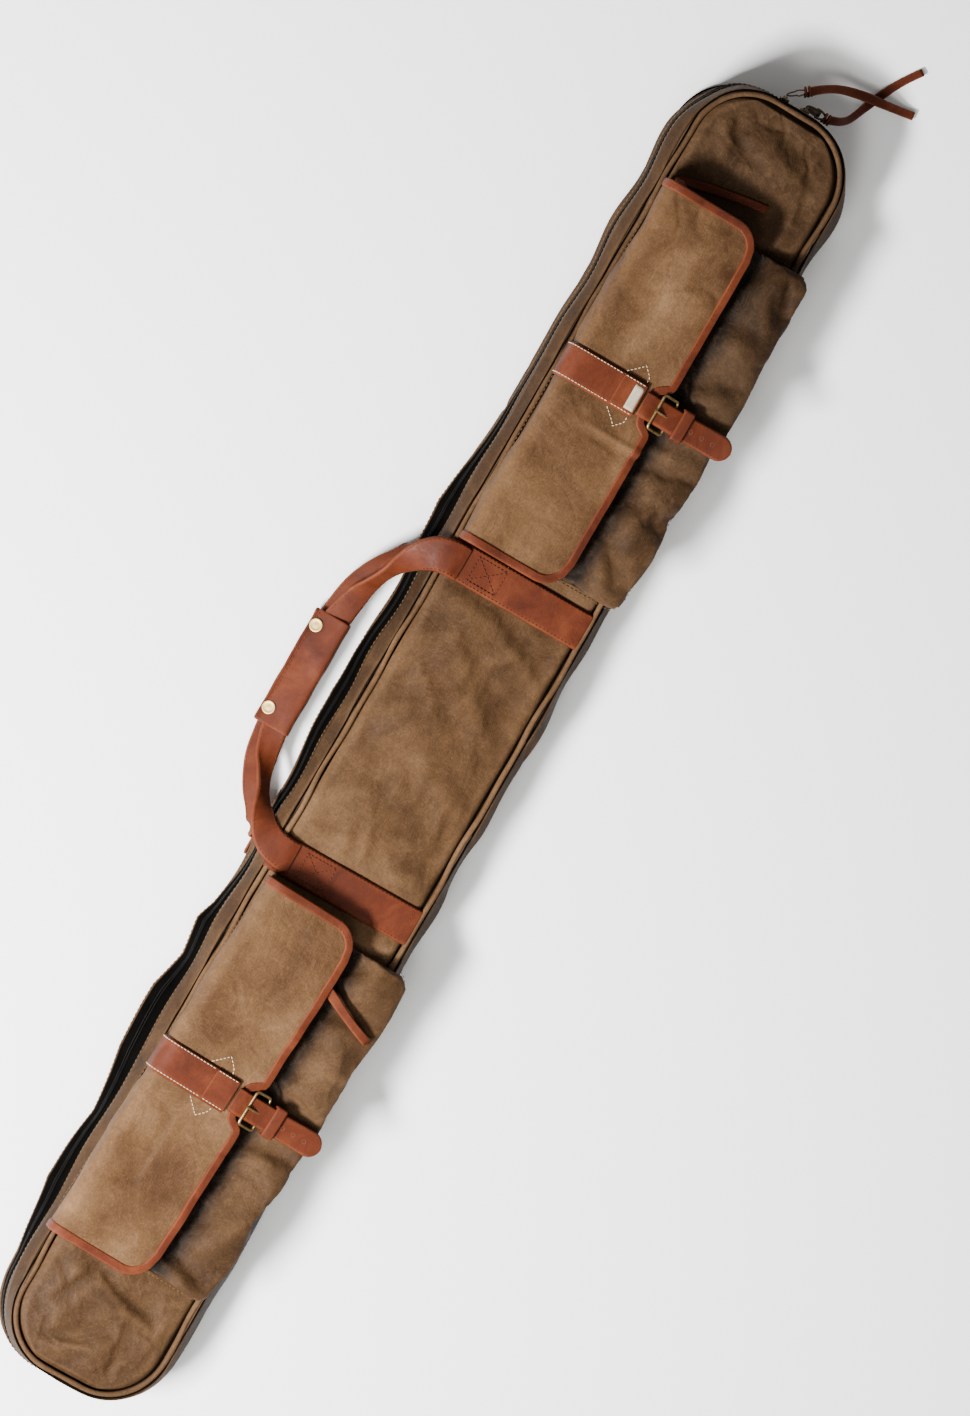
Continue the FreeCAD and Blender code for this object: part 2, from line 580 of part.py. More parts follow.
def write_parts():
    """Checks every object, then writes each sub-part to its own file."""
    doc.recompute()
    failed = [o.Name for o in doc.Objects if {"Invalid", "Error"} & set(o.State)]
    failed += [p.Label for p in parts if p.Shape.isNull() or not p.Shape.isValid()]
    if failed:
        raise RuntimeError(f"failed objects: {failed}")
    os.makedirs("parts", exist_ok=True)
    for item in parts:
        item.Shape.exportStep(f"parts/{item.Label}.step")
        box = item.Shape.BoundBox
        print(f"{item.Label}: {len(item.Shape.Solids)} solid, volume {item.Shape.Volume:.0f},"
              f" x {box.XMin:.1f} {box.XMax:.1f}, y {box.YMin:.1f} {box.YMax:.1f},"
              f" z {box.ZMin:.1f} {box.ZMax:.1f}")


panels()
main_zip()
for pocket_side in POCKETS:
    pocket_group(pocket_side)
    flap_group(pocket_side)
    buckle_group(pocket_side)
handle()
zip_slider("long", "-5", (-687, 10, 0), "19")
zip_slider("short", "17", (-675.1, 38, 0), "21")
thongs()
write_parts()
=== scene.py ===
"""Waxed canvas cue case with leather straps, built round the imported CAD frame. Shapes are worked out
in millimetres, in the frame's axes, and scaled to metres as each mesh is made."""

import math
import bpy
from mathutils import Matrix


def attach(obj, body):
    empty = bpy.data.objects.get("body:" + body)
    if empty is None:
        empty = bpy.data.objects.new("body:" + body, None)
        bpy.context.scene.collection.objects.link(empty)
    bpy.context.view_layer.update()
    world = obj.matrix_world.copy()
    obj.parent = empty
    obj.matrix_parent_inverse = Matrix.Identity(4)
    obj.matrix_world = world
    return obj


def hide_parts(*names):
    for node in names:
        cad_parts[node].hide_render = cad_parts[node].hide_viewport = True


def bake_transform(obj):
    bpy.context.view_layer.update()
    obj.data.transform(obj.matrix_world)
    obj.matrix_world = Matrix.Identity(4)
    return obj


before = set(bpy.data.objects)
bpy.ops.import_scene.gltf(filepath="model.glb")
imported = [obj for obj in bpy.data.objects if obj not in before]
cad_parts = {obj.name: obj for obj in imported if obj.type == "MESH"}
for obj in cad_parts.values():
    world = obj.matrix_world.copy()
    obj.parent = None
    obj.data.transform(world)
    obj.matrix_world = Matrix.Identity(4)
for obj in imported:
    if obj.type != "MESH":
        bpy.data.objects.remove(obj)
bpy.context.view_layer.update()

from types import SimpleNamespace

import bmesh
import bpy
import numpy as np
from mathutils import Matrix, Vector

MM = 0.001
PANEL_HALF = (662.2, 75.2)   # the seam's half length and width
SEAM_RADIUS = 56
MIDDLE_HALF = (668.2, 91.2)  # the same at half the case's height
MIDDLE_RADIUS = 70
ZIP_GAP = (-607, 620)        # the far side's stretch with no zip
POCKETS = {"upper": (-364, 0, 0), "lower": (364, -5, -2.5)}   # place along, place across, turn
BANDS = {"upper": -158.5, "lower": 151.5}   # where the handle's bands cross the case
UP = np.array([0.0, 0.0, 1.0])
BLACK, WHITE = (0, 0, 0), (1, 1, 1)
WAVES = 14                   # how many waves add up to a random field
SETTLING_FRAMES = 16         # how long the cloth settles


# ---------------------------------------------------------------- mesh helpers

def wavy(points, size, seed):
    """A smooth random field, about -1 to 1, whose bumps are about as wide as size."""
    draw = np.random.default_rng(seed)
    turns = draw.normal(size=(WAVES, points.shape[1]))
    turns *= (2 * math.pi / size) * draw.uniform(0.35, 1.1, (WAVES, 1)) \
        / np.linalg.norm(turns, axis=1, keepdims=True)
    return np.sin(points @ turns.T + draw.uniform(0, 2 * math.pi, WAVES)).sum(1) / math.sqrt(WAVES)


def creases(points, size, seed, sharp=0.16):
    """Thin valleys, 0 to 1, that wander over the surface and come and go."""
    lines = np.exp(-(wavy(points, size, seed) / sharp) ** 2)
    return lines * np.clip(wavy(points, size * 1.3, seed + 1), 0, 1)


def fold(points, start, end, width, height):
    """A fold between two places: a ridge with a valley along its side."""
    start, end = np.array(start, float), np.array(end, float)
    run = end - start
    along = (points[:, :2] - start) @ run / (run @ run)
    side = np.array([-run[1], run[0]]) / np.linalg.norm(run)
    across = (points[:, :2] - start) @ side / width
    fade = np.sqrt(np.clip(np.sin(np.clip(along, 0, 1) * math.pi), 0, 1))
    return height * fade * across * np.exp(0.5 - across ** 2 / 2)


def ease(x, low, high):
    t = np.clip((np.asarray(x, float) - low) / (high - low), 0, 1)
    return t * t * (3 - 2 * t)


def quads(rows, columns, around=False, closed=False):
    """The faces of a grid of rows by columns of points."""
    faces = []
    for r in range(rows if closed else rows - 1):
        for c in range(columns if around else columns - 1):
            a, b = r * columns + c, r * columns + (c + 1) % columns
            d, e = ((r + 1) % rows) * columns + c, ((r + 1) % rows) * columns + (c + 1) % columns
            faces.append((a, b, e, d))
    return faces


def end_caps(rows, columns):
    """The two faces that close the ends of a tube."""
    return [tuple(range(columns))[::-1], tuple((rows - 1) * columns + c for c in range(columns))]


def shifted(faces, by):
    """Faces renumbered for points that follow by others."""
    return [tuple(i + by for i in f) for f in faces]


def unit(vectors):
    return vectors / np.maximum(np.linalg.norm(vectors, axis=-1, keepdims=True), 1e-9)


def lengths(path):
    """How far along the path each of its points is."""
    return np.concatenate([[0], np.cumsum(np.linalg.norm(np.diff(path, axis=0), axis=1))])


def read_at(at, run, rows):
    """Rows of three, one for each length in run, read at other lengths."""
    return np.stack([np.interp(at, run, rows[:, i]) for i in range(3)], 1)


def make(name, points, faces, materials, body, replaces=(), sides=None):
    """A mesh object from points in millimetres. body is a body's name, or a blend between two."""
    mesh = bpy.data.meshes.new(name)
    mesh.from_pydata([tuple(p) for p in np.asarray(points, float).reshape(-1, 3) * MM], [], faces)
    for material in materials if isinstance(materials, (list, tuple)) else [materials]:
        mesh.materials.append(material)
    if sides is not None:
        mesh.polygons.foreach_set("material_index", sides)
    tidy = bmesh.new()
    tidy.from_mesh(mesh)
    bmesh.ops.remove_doubles(tidy, verts=tidy.verts, dist=1e-5)
    bmesh.ops.recalc_face_normals(tidy, faces=tidy.faces)
    tidy.to_mesh(mesh)
    tidy.free()
    mesh.polygons.foreach_set("use_smooth", [True] * len(mesh.polygons))
    piece = bpy.data.objects.new(name, mesh)
    bpy.context.scene.collection.objects.link(piece)
    if isinstance(body, tuple):
        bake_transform(piece)
    else:
        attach(piece, body)
    if replaces:
        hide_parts(*replaces)
    return piece


def thick_sheet(rows, columns, points, normals, thickness, around=False):
    """Points and faces of a closed sheet whose outer side is points."""
    points = np.asarray(points, float).reshape(-1, 3)
    under = points - np.asarray(normals, float).reshape(-1, 3) * thickness
    count = rows * columns
    top = quads(rows, columns, around)
    faces = top + [tuple(i + count for i in reversed(f)) for f in top]
    rims = [[r * columns + c for c in range(columns)] for r in (0, rows - 1)]
    if around:
        rims = [rim + rim[:1] for rim in rims]
    else:
        rims += [[r * columns + c for r in range(rows)] for c in (0, columns - 1)]
    for rim in rims:
        faces += [(a, b, b + count, a + count) for a, b in zip(rim, rim[1:])]
    return np.concatenate([points, under]), faces, len(top)


def grid_normals(points):
    """Unit normals of a grid of points (rows, columns, 3)."""
    down, along = np.gradient(points, axis=0), np.gradient(points, axis=1)
    normal = np.cross(along, down)
    return unit(normal)


def curve_through(points, count):
    """A smooth line through a few places, as count points (Catmull-Rom, even in parameter)."""
    p = np.asarray(points, float)
    p = np.concatenate([[2 * p[0] - p[1]], p, [2 * p[-1] - p[-2]]])
    out = []
    for at in np.linspace(0, len(p) - 3 - 1e-9, count):
        i, t = int(at), at % 1
        a, b, c, d = p[i:i + 4]
        out.append(0.5 * (2 * b + (c - a) * t + (2 * a - 5 * b + 4 * c - d) * t * t
                          + (3 * b - a - 3 * c + d) * t ** 3))
    return np.array(out)


def sweep(path, ups, section, closed=False, widths=None):
    """A section (across, up) carried along a path: points and faces of a closed tube."""
    path = np.asarray(path, float)
    ups = np.broadcast_to(np.asarray(ups, float), path.shape)
    ahead = (np.roll(path, -1, 0) - np.roll(path, 1, 0)) if closed else np.gradient(path, axis=0)
    ahead = unit(ahead)
    across = unit(np.cross(ahead, ups))
    lift = np.cross(across, ahead)
    section = np.asarray(section, float)
    scale = np.ones(len(path)) if widths is None else np.asarray(widths, float)
    points = path[:, None] + across[:, None] * (section[None, :, :1] * scale[:, None, None]) \
        + lift[:, None] * section[None, :, 1:]
    rows, columns = len(path), len(section)
    faces = quads(rows, columns, True, closed)
    if not closed:
        faces += end_caps(rows, columns)
    return points.reshape(-1, 3), faces


def circle(radius, count=12):
    turn = np.linspace(0, 2 * math.pi, count, endpoint=False)
    return np.stack([radius * np.cos(turn), radius * np.sin(turn)], 1)


def strap_section(width, thickness, crown=0.0, count=11):
    """A leather strap's section: flat, with round edges and a slightly crowned face."""
    x = np.linspace(-1, 1, count)
    edge = thickness / 2 * (1 - np.abs(x) ** 14) ** 0.5
    top = np.stack([x * width / 2, edge + crown * (1 - x * x)], 1)
    under = np.stack([x[::-1][1:-1] * width / 2, -edge[::-1][1:-1]], 1)
    return np.concatenate([top, under])


def outline(half_x, half_y, radius, long=360, short=18, corner=22):
    """Points round a rectangle with round corners, from the middle of the far side."""
    half_x, half_y = max(half_x, 0.0), max(half_y, 0.0)
    r = min(radius, half_x, half_y)
    x, y = half_x - r, half_y - r
    quarter = np.linspace(0, math.pi / 2, corner, endpoint=False)
    run = np.linspace(1, -1, long, endpoint=False)
    rise = np.linspace(1, -1, short, endpoint=False)
    parts = [np.stack([x * run, np.full(long, half_y)], 1),
             np.stack([-x - r * np.sin(quarter), y + r * np.cos(quarter)], 1),
             np.stack([np.full(short, -half_x), y * rise], 1),
             np.stack([-x - r * np.cos(quarter), -y - r * np.sin(quarter)], 1),
             np.stack([-x * run, np.full(long, -half_y)], 1),
             np.stack([x + r * np.sin(quarter), -y - r * np.cos(quarter)], 1),
             np.stack([np.full(short, half_x), -y * rise], 1),
             np.stack([x + r * np.cos(quarter), y + r * np.sin(quarter)], 1)]
    return np.concatenate(parts)


def at_level(flat, z):
    return np.concatenate([flat, np.full((len(flat), 1), float(z))], 1)


def swell(points, faces, held, pressure, grow, cap, voxel=None):
    """Lets cloth settle: points where held is 1 stay, and the rest swell and buckle a little.
    The points may move by cap millimetres. A closed skin is first remeshed to even cells."""
    points = np.asarray(points, float).reshape(-1, 3)
    scene = bpy.context.scene
    mesh = bpy.data.meshes.new("settling")
    mesh.from_pydata([tuple(p) for p in points * MM], [], faces)
    cloth = bpy.data.objects.new("settling", mesh)
    scene.collection.objects.link(cloth)
    if voxel:
        remesh = cloth.modifiers.new("cells", "REMESH")
        remesh.mode = "VOXEL"
        remesh.voxel_size = voxel * MM
        even = bpy.data.meshes.new_from_object(
            cloth.evaluated_get(bpy.context.evaluated_depsgraph_get()))
        cloth.modifiers.remove(remesh)
        cloth.data = even
    rest = np.empty(len(cloth.data.vertices) * 3)
    cloth.data.vertices.foreach_get("co", rest)
    rest = rest.reshape(-1, 3)
    pins = cloth.vertex_groups.new(name="held")
    for number, weight in enumerate(held(rest / MM)):
        if weight > 0.01:
            pins.add([number], float(weight), "REPLACE")
    sim = cloth.modifiers.new("cloth", "CLOTH")
    sim.settings.quality = 5
    sim.settings.mass = 0.25
    sim.settings.vertex_group_mass = "held"
    sim.settings.pin_stiffness = 20
    sim.settings.tension_stiffness = 25
    sim.settings.compression_stiffness = 25
    sim.settings.shear_stiffness = 12
    sim.settings.bending_stiffness = 0.6
    sim.settings.shrink_min = -grow
    sim.settings.use_pressure = pressure != 0
    sim.settings.uniform_pressure_force = pressure
    sim.settings.effector_weights.gravity = 0
    sim.collision_settings.use_collision = False
    sim.point_cache.frame_start, sim.point_cache.frame_end = 1, SETTLING_FRAMES
    for frame_number in range(1, SETTLING_FRAMES + 1):
        scene.frame_set(frame_number)
    settled = bpy.data.meshes.new_from_object(
        cloth.evaluated_get(bpy.context.evaluated_depsgraph_get()))
    after = np.empty(len(settled.vertices) * 3)
    settled.vertices.foreach_get("co", after)
    shift = after.reshape(-1, 3) - rest
    size = np.linalg.norm(shift, axis=1, keepdims=True)
    shift *= np.minimum(1, cap * MM / np.maximum(size, 1e-9))
    faces = [tuple(polygon.vertices) for polygon in cloth.data.polygons]
    bpy.data.objects.remove(cloth)
    scene.frame_set(1)
    return (rest + shift) / MM, faces


# ---------------------------------------------------------------- materials

def material(name, roughness, metallic=0.0, gloss=0.5):
    """A new material's node-making shorthand."""
    mat = bpy.data.materials.new(name)
    mat.use_nodes = True
    tree = mat.node_tree
    shader = tree.nodes["Principled BSDF"]
    shader.inputs["Roughness"].default_value = roughness
    shader.inputs["Metallic"].default_value = metallic
    shader.inputs["Specular IOR Level"].default_value = gloss
    place = tree.nodes.new("ShaderNodeTexCoord").outputs["Object"]

    def node(kind, inputs=(), **settings):
        made = tree.nodes.new(kind)
        for key, setting in settings.items():
            setattr(made, key, setting)
        for key, source in dict(inputs).items():
            if isinstance(source, bpy.types.NodeSocket):
                tree.links.new(source, made.inputs[key])
            else:
                made.inputs[key].default_value = source
        return made

    def noise(scale, detail=4.0, rough=0.55, stretch=None, distort=0.0):
        spot = place
        if stretch:
            spot = node("ShaderNodeMapping", {"Vector": place, "Scale": stretch}).outputs[0]
        return node("ShaderNodeTexNoise", {"Vector": spot, "Scale": scale, "Detail": detail,
                                           "Roughness": rough, "Distortion": distort}).outputs["Fac"]

    def ramp(value, *stops):
        made = node("ShaderNodeValToRGB", {"Fac": value})
        band = made.color_ramp
        while len(band.elements) < len(stops):
            band.elements.new(0.5)
        for element, (spot, colour) in zip(band.elements, stops):
            element.position = spot
            element.color = (*colour, 1) if len(colour) == 3 else colour
        return made.outputs["Color"]

    def mix(kind, factor, a, b):
        made = node("ShaderNodeMix", data_type="RGBA", blend_type=kind)
        for socket, source in zip((made.inputs[0], made.inputs[6], made.inputs[7]), (factor, a, b)):
            if isinstance(source, bpy.types.NodeSocket):
                tree.links.new(source, socket)
            else:
                socket.default_value = source if isinstance(source, float) else (*source, 1)
        return made.outputs[2]

    def maths(kind, a, b=0.0):
        made = node("ShaderNodeMath", operation=kind)
        for socket, source in zip(made.inputs, (a, b)):
            if isinstance(source, bpy.types.NodeSocket):
                tree.links.new(source, socket)
            else:
                socket.default_value = source
        return made.outputs[0]

    def bump(height, strength, distance, under=None):
        inputs = {"Height": height, "Strength": strength, "Distance": distance}
        if under is not None:
            inputs["Normal"] = under
        return node("ShaderNodeBump", inputs).outputs["Normal"]

    def wear():
        """1 along convex edges."""
        return node("ShaderNodeNewGeometry").outputs["Pointiness"]

    def finish(colour, normal=None, rough=None):
        if isinstance(colour, bpy.types.NodeSocket):
            tree.links.new(colour, shader.inputs["Base Color"])
        else:
            shader.inputs["Base Color"].default_value = (*colour, 1)
        if normal is not None:
            tree.links.new(normal, shader.inputs["Normal"])
        if rough is not None:
            tree.links.new(rough, shader.inputs["Roughness"])
        return mat

    return SimpleNamespace(place=place, node=node, noise=noise, ramp=ramp, mix=mix, maths=maths,
                           bump=bump, wear=wear, finish=finish)


def weave(m, pitch):
    """A plain weave's height, 0 to 1: threads along X and along Y that pass over each other."""
    split = m.node("ShaderNodeSeparateXYZ", {"Vector": m.place})
    rate = math.pi / pitch
    turned = m.maths("ADD", split.outputs["Y"], split.outputs["Z"])
    warp = m.maths("SINE", m.maths("MULTIPLY", split.outputs["X"], rate))
    weft = m.maths("SINE", m.maths("MULTIPLY", turned, rate))
    return m.maths("ADD", m.maths("MULTIPLY", warp, weft),
                   m.maths("MULTIPLY", m.maths("ABSOLUTE", warp), 0.5))


def canvas(name, dark, mid, light, seed=0.0, ends=None, flap_shadow=None):
    """Waxed cotton canvas: a tight weave, blotches where the wax has moved, rubbed creases.
    ends are painted shade by share of the case's length, for the light's fall-off, with wax lying thicker
    there;
    flap_shadow is painted shadow across the dip beside a flap's free edge, which slants on the second pocket."""
    m = material(name, 0.74, gloss=0.10)
    blotch = m.noise(9 + seed, 6, 0.62, distort=0.6)
    colour = m.ramp(blotch, (0.30, dark), (0.52, mid), (0.74, light))
    streak = m.noise(38, 5, 0.7, (1, 0.35, 1), 1.2)
    colour = m.mix("MULTIPLY", 0.55, colour, m.ramp(streak, (0.35, (0.66, 0.63, 0.60)), (0.6, WHITE)))
    # painted shade: darker toward both ends of the case, most at the -X end, for the light's fall-off, with
    # wax lying thicker there too
    if ends:
        length = m.node("ShaderNodeSeparateXYZ", {"Vector": m.place}).outputs["X"]
        length = m.maths("ADD", m.maths("MULTIPLY", length, 0.7), m.maths("MULTIPLY", blotch, 0.12))
        waxed = m.ramp(m.maths("ADD", length, 0.44), *((spot, (shade,) * 3) for spot, shade in ends))
        colour = m.mix("MULTIPLY", 1.0, colour, waxed)
    # painted shadow: a dark band across the pocket beside each flap's free edge, where the flap's shadow
    # falls
    if flap_shadow:
        spot = m.node("ShaderNodeSeparateXYZ", {"Vector": m.place})
        slant = m.maths("MULTIPLY", m.maths("MAXIMUM", spot.outputs["X"], 0.25), FLAP_SHADOW_SLANT)
        over = m.maths("SUBTRACT", m.maths("ADD", spot.outputs["Y"], slant), FLAP_SHADOW_START)
        painted_flap_shadow = m.ramp(m.maths("DIVIDE", over, FLAP_SHADOW_WIDTH), *((at, (shade,) * 3) for at, shade in flap_shadow))
        colour = m.mix("MULTIPLY", 1.0, colour, painted_flap_shadow)
    rubbed = m.ramp(m.noise(26, 8, 0.75, distort=2.2), (0.485, BLACK), (0.5, WHITE), (0.515, BLACK))
    colour = m.mix("SCREEN", m.maths("MULTIPLY", rubbed, 0.22), colour, light)
    edges = m.ramp(m.wear(), (0.5, BLACK), (0.56, WHITE))
    colour = m.mix("SCREEN", m.maths("MULTIPLY", edges, 0.30), colour, light)
    speck = m.ramp(m.noise(480, 3, 0.6), (0.32, (0.72, 0.72, 0.72)), (0.68, (1.16, 1.16, 1.16)))
    colour = m.mix("MULTIPLY", 0.7, colour, speck)
    crumple = m.bump(m.ramp(m.noise(17, 5, 0.5, distort=1.0), (0.44, WHITE), (0.5, BLACK),
                            (0.56, WHITE)), 0.14, 0.0016)
    soft = m.bump(m.noise(120, 6, 0.65), 0.36, 0.0012, crumple)
    cloth = m.bump(weave(m, 0.0009), 0.35, 0.00016, soft)
    rough = m.ramp(blotch, (0.3, (0.60,) * 3), (0.7, (0.84,) * 3))
    return m.finish(colour, cloth, rough)


def leather(name, dark, mid, light, roughness=0.6, grain=1.0):
    """Oiled leather: fine pebbled grain, mottled dye, lighter rubbed edges and fine creases."""
    m = material(name, roughness, gloss=0.13)
    colour = m.ramp(m.noise(16, 7, 0.65, distort=0.8), (0.28, dark), (0.5, mid), (0.76, light))
    scuff = m.ramp(m.noise(70, 8, 0.8, (1, 1, 0.5), 1.5), (0.42, (0.74, 0.68, 0.64)), (0.6, WHITE))
    colour = m.mix("MULTIPLY", 0.6, colour, scuff)
    rubbed = m.ramp(m.wear(), (0.49, BLACK), (0.57, WHITE))
    colour = m.mix("SCREEN", m.maths("MULTIPLY", rubbed, 0.30), colour, light)
    pebble = m.node("ShaderNodeTexVoronoi", {"Vector": m.place, "Scale": 900.0 / grain})
    grains = m.bump(pebble.outputs["Distance"], 0.35, 0.00025)
    lines = m.ramp(m.noise(45, 9, 0.8, distort=1.8), (0.47, WHITE), (0.5, BLACK), (0.53, WHITE))
    surface = m.bump(lines, 0.25, 0.0005, grains)
    rough = m.ramp(m.noise(50, 4), (0.3, (roughness - 0.1,) * 3), (0.7, (roughness + 0.14,) * 3))
    return m.finish(colour, surface, rough)


def metal(name, dark, light, roughness, tarnish=90):
    m = material(name, roughness, metallic=1)
    patina = m.noise(tarnish, 6, 0.7)
    colour = m.ramp(patina, (0.35, dark), (0.62, light))
    worn = m.ramp(m.wear(), (0.5, BLACK), (0.6, WHITE))
    colour = m.mix("MIX", m.maths("MULTIPLY", worn, 0.5), colour, light)
    rough = m.ramp(patina, (0.3, (min(1, roughness + 0.2),) * 3), (0.7, (roughness,) * 3))
    return m.finish(colour, m.bump(m.noise(1400, 3), 0.15, 0.00008), rough)


def plain_cloth(name, dark, light, pitch, roughness=0.85, gloss=0.15):
    """A woven tape, lining or thread."""
    m = material(name, roughness, gloss=gloss)
    colour = m.ramp(m.noise(40, 6, 0.7), (0.3, dark), (0.72, light))
    threads = m.bump(weave(m, pitch), 0.5, pitch * 0.3)
    return m.finish(colour, threads)


# Painted shadow on the pockets: where the dark band beside each flap's free edge starts, its width, and its
# slant on the second pocket
FLAP_SHADOW_SLANT = math.tan(math.radians(2.5))
FLAP_SHADOW_START, FLAP_SHADOW_WIDTH = 0.022, 0.042
# Painted shade by share of the case's length: darker toward both ends for the light's fall-off, with wax
# lying thicker there too
END_SHADE_AND_WAX = ((0.0, 0.60), (0.24, 0.55), (0.37, 0.95), (0.5, 1.0), (0.8, 0.90), (1.0, 0.62))
CANVAS = canvas("waxed_canvas", (0.030, 0.0134, 0.0049), (0.060, 0.0294, 0.0116), (0.108, 0.059, 0.0285),
                ends=END_SHADE_AND_WAX)
# A darker copy of the canvas for the pockets: painted shade for the pockets lying beyond the flaps, partly
# darker wax. It also carries the painted end shade and the painted shadow by the flap edges.
SHADED_POCKET_CANVAS = canvas("waxed_canvas_pockets_shaded", (0.023, 0.0102, 0.0037), (0.047, 0.0228, 0.0090),
                       (0.086, 0.046, 0.0215), 2.0, END_SHADE_AND_WAX,
                       ((0.0, 1.0), (0.2, 0.5), (0.34, 0.10), (0.66, 0.12), (0.82, 0.62), (1.0, 1.0)))
# A darker copy of the canvas for the gussets and seam allowances: painted shade for faces turned away from
# the light.
SHADED_SIDE_CANVAS = canvas("waxed_canvas_sides_painted_shade", (0.013, 0.0056, 0.0018), (0.026, 0.0120, 0.0042),
                     (0.056, 0.029, 0.0125), 1.0)
FLAP_CANVAS = canvas("waxed_canvas_flap", (0.042, 0.0184, 0.0067), (0.076, 0.0372, 0.0150),
                     (0.130, 0.071, 0.0340), 3.0)
LEATHER = leather("oiled_leather", (0.026, 0.0046, 0.0013), (0.061, 0.0116, 0.0033), (0.112, 0.0275, 0.0085))
SUEDE = leather("leather_flesh_side", (0.030, 0.010, 0.006), (0.055, 0.018, 0.010),
                (0.11, 0.045, 0.025), 0.85, 1.6)
ANTIQUE = metal("antique_brass", (0.10, 0.055, 0.02), (0.46, 0.31, 0.13), 0.34)
BRIGHT = metal("bright_brass", (0.44, 0.29, 0.10), (0.62, 0.45, 0.20), 0.40, 60)
GUNMETAL = metal("gunmetal", (0.035, 0.028, 0.022), (0.13, 0.10, 0.07), 0.38)
TAPE = plain_cloth("zip_tape_black", (0.0004, 0.0004, 0.0003), (0.0016, 0.0014, 0.0012), 0.0007, 0.95, 0.02)
TEETH = plain_cloth("zip_coil", (0.0010, 0.0009, 0.0008), (0.004, 0.0035, 0.003), 0.0012, 0.6, 0.06)
THREAD = plain_cloth("cream_thread", (0.40, 0.30, 0.19), (0.62, 0.50, 0.35), 0.0004, 0.7)
TAN_THREAD = plain_cloth("tan_thread", (0.040, 0.009, 0.003), (0.085, 0.023, 0.008), 0.0004, 0.75)
KHAKI_THREAD = plain_cloth("khaki_thread", (0.075, 0.042, 0.018), (0.13, 0.080, 0.038), 0.0004, 0.8)
LINING = plain_cloth("brown_lining", (0.050, 0.028, 0.014), (0.085, 0.050, 0.028), 0.0006)
LABEL = plain_cloth("woven_patch", (0.26, 0.21, 0.15), (0.44, 0.37, 0.28), 0.0006)
FOAM = plain_cloth("grey_foam", (0.10, 0.10, 0.11), (0.16, 0.16, 0.17), 0.0011, 0.95)


# ---------------------------------------------------------------- camera, floor and light

TILT = math.radians(16)          # the camera leans this far toward the handle side
ROLL = math.radians(120)
TO_CAMERA = Vector((0, -math.sin(TILT), math.cos(TILT)))
CAMERA_AWAY = 8.0
FRAME_TALL = 1.2886              # what the picture's height takes in, in metres
AIM = Vector((-0.0546, 0.0342, 0.045))


def lay_out_studio():
    scene = bpy.context.scene
    lens = bpy.data.cameras.new("camera")
    lens.sensor_fit = "VERTICAL"
    lens.sensor_height = 36
    lens.lens = lens.sensor_height * CAMERA_AWAY / FRAME_TALL
    lens.clip_end = 100
    camera = bpy.data.objects.new("camera", lens)
    along = Vector((1, 0, 0))
    across = Vector((0, math.cos(TILT), math.sin(TILT)))
    right = math.cos(ROLL) * along + math.sin(ROLL) * across
    up = -math.sin(ROLL) * along + math.cos(ROLL) * across
    turn = Matrix((right, up, TO_CAMERA)).transposed().to_4x4()
    camera.matrix_world = Matrix.Translation(AIM + TO_CAMERA * CAMERA_AWAY) @ turn
    scene.collection.objects.link(camera)
    scene.camera = camera

    floor_mat = bpy.data.materials.new("floor")
    floor_mat.use_nodes = True
    floor_shader = floor_mat.node_tree.nodes["Principled BSDF"]
    floor_shader.inputs["Base Color"].default_value = (0.93, 0.93, 0.92, 1)
    floor_shader.inputs["Roughness"].default_value = 0.9
    size = 9.0
    mesh = bpy.data.meshes.new("floor")
    mesh.from_pydata([(x * size, y * size, -0.0005) for x, y in ((-1, -1), (1, -1), (1, 1), (-1, 1))],
                     [], [(0, 1, 2, 3)])
    mesh.materials.append(floor_mat)
    floor = bpy.data.objects.new("floor", mesh)
    scene.collection.objects.link(floor)

    world = bpy.data.worlds.new("studio")
    world.use_nodes = True
    world.node_tree.nodes["Background"].inputs["Color"].default_value = (1.0, 0.985, 0.96, 1)
    world.node_tree.nodes["Background"].inputs["Strength"].default_value = 0.30
    scene.world = world
    for name, spot, power, size_x, size_y in (("key", (1.4, -1.25, 1.8), 330, 0.8, 0.28),
                                              ("fill", (1.2, 1.6, 2.6), 8, 2.4, 2.4),
                                              ("top", (1.0, -0.5, 2.4), 45, 1.3, 0.7)):
        area = bpy.data.lights.new(name, "AREA")
        area.energy = power
        area.shape = "RECTANGLE"
        area.size = size_x
        area.size_y = size_y
        lamp = bpy.data.objects.new(name, area)
        lamp.location = spot
        lamp.rotation_euler = Vector(spot).to_track_quat("Z", "Y").to_euler()
        scene.collection.objects.link(lamp)


lay_out_studio()


# ---------------------------------------------------------------- thongs

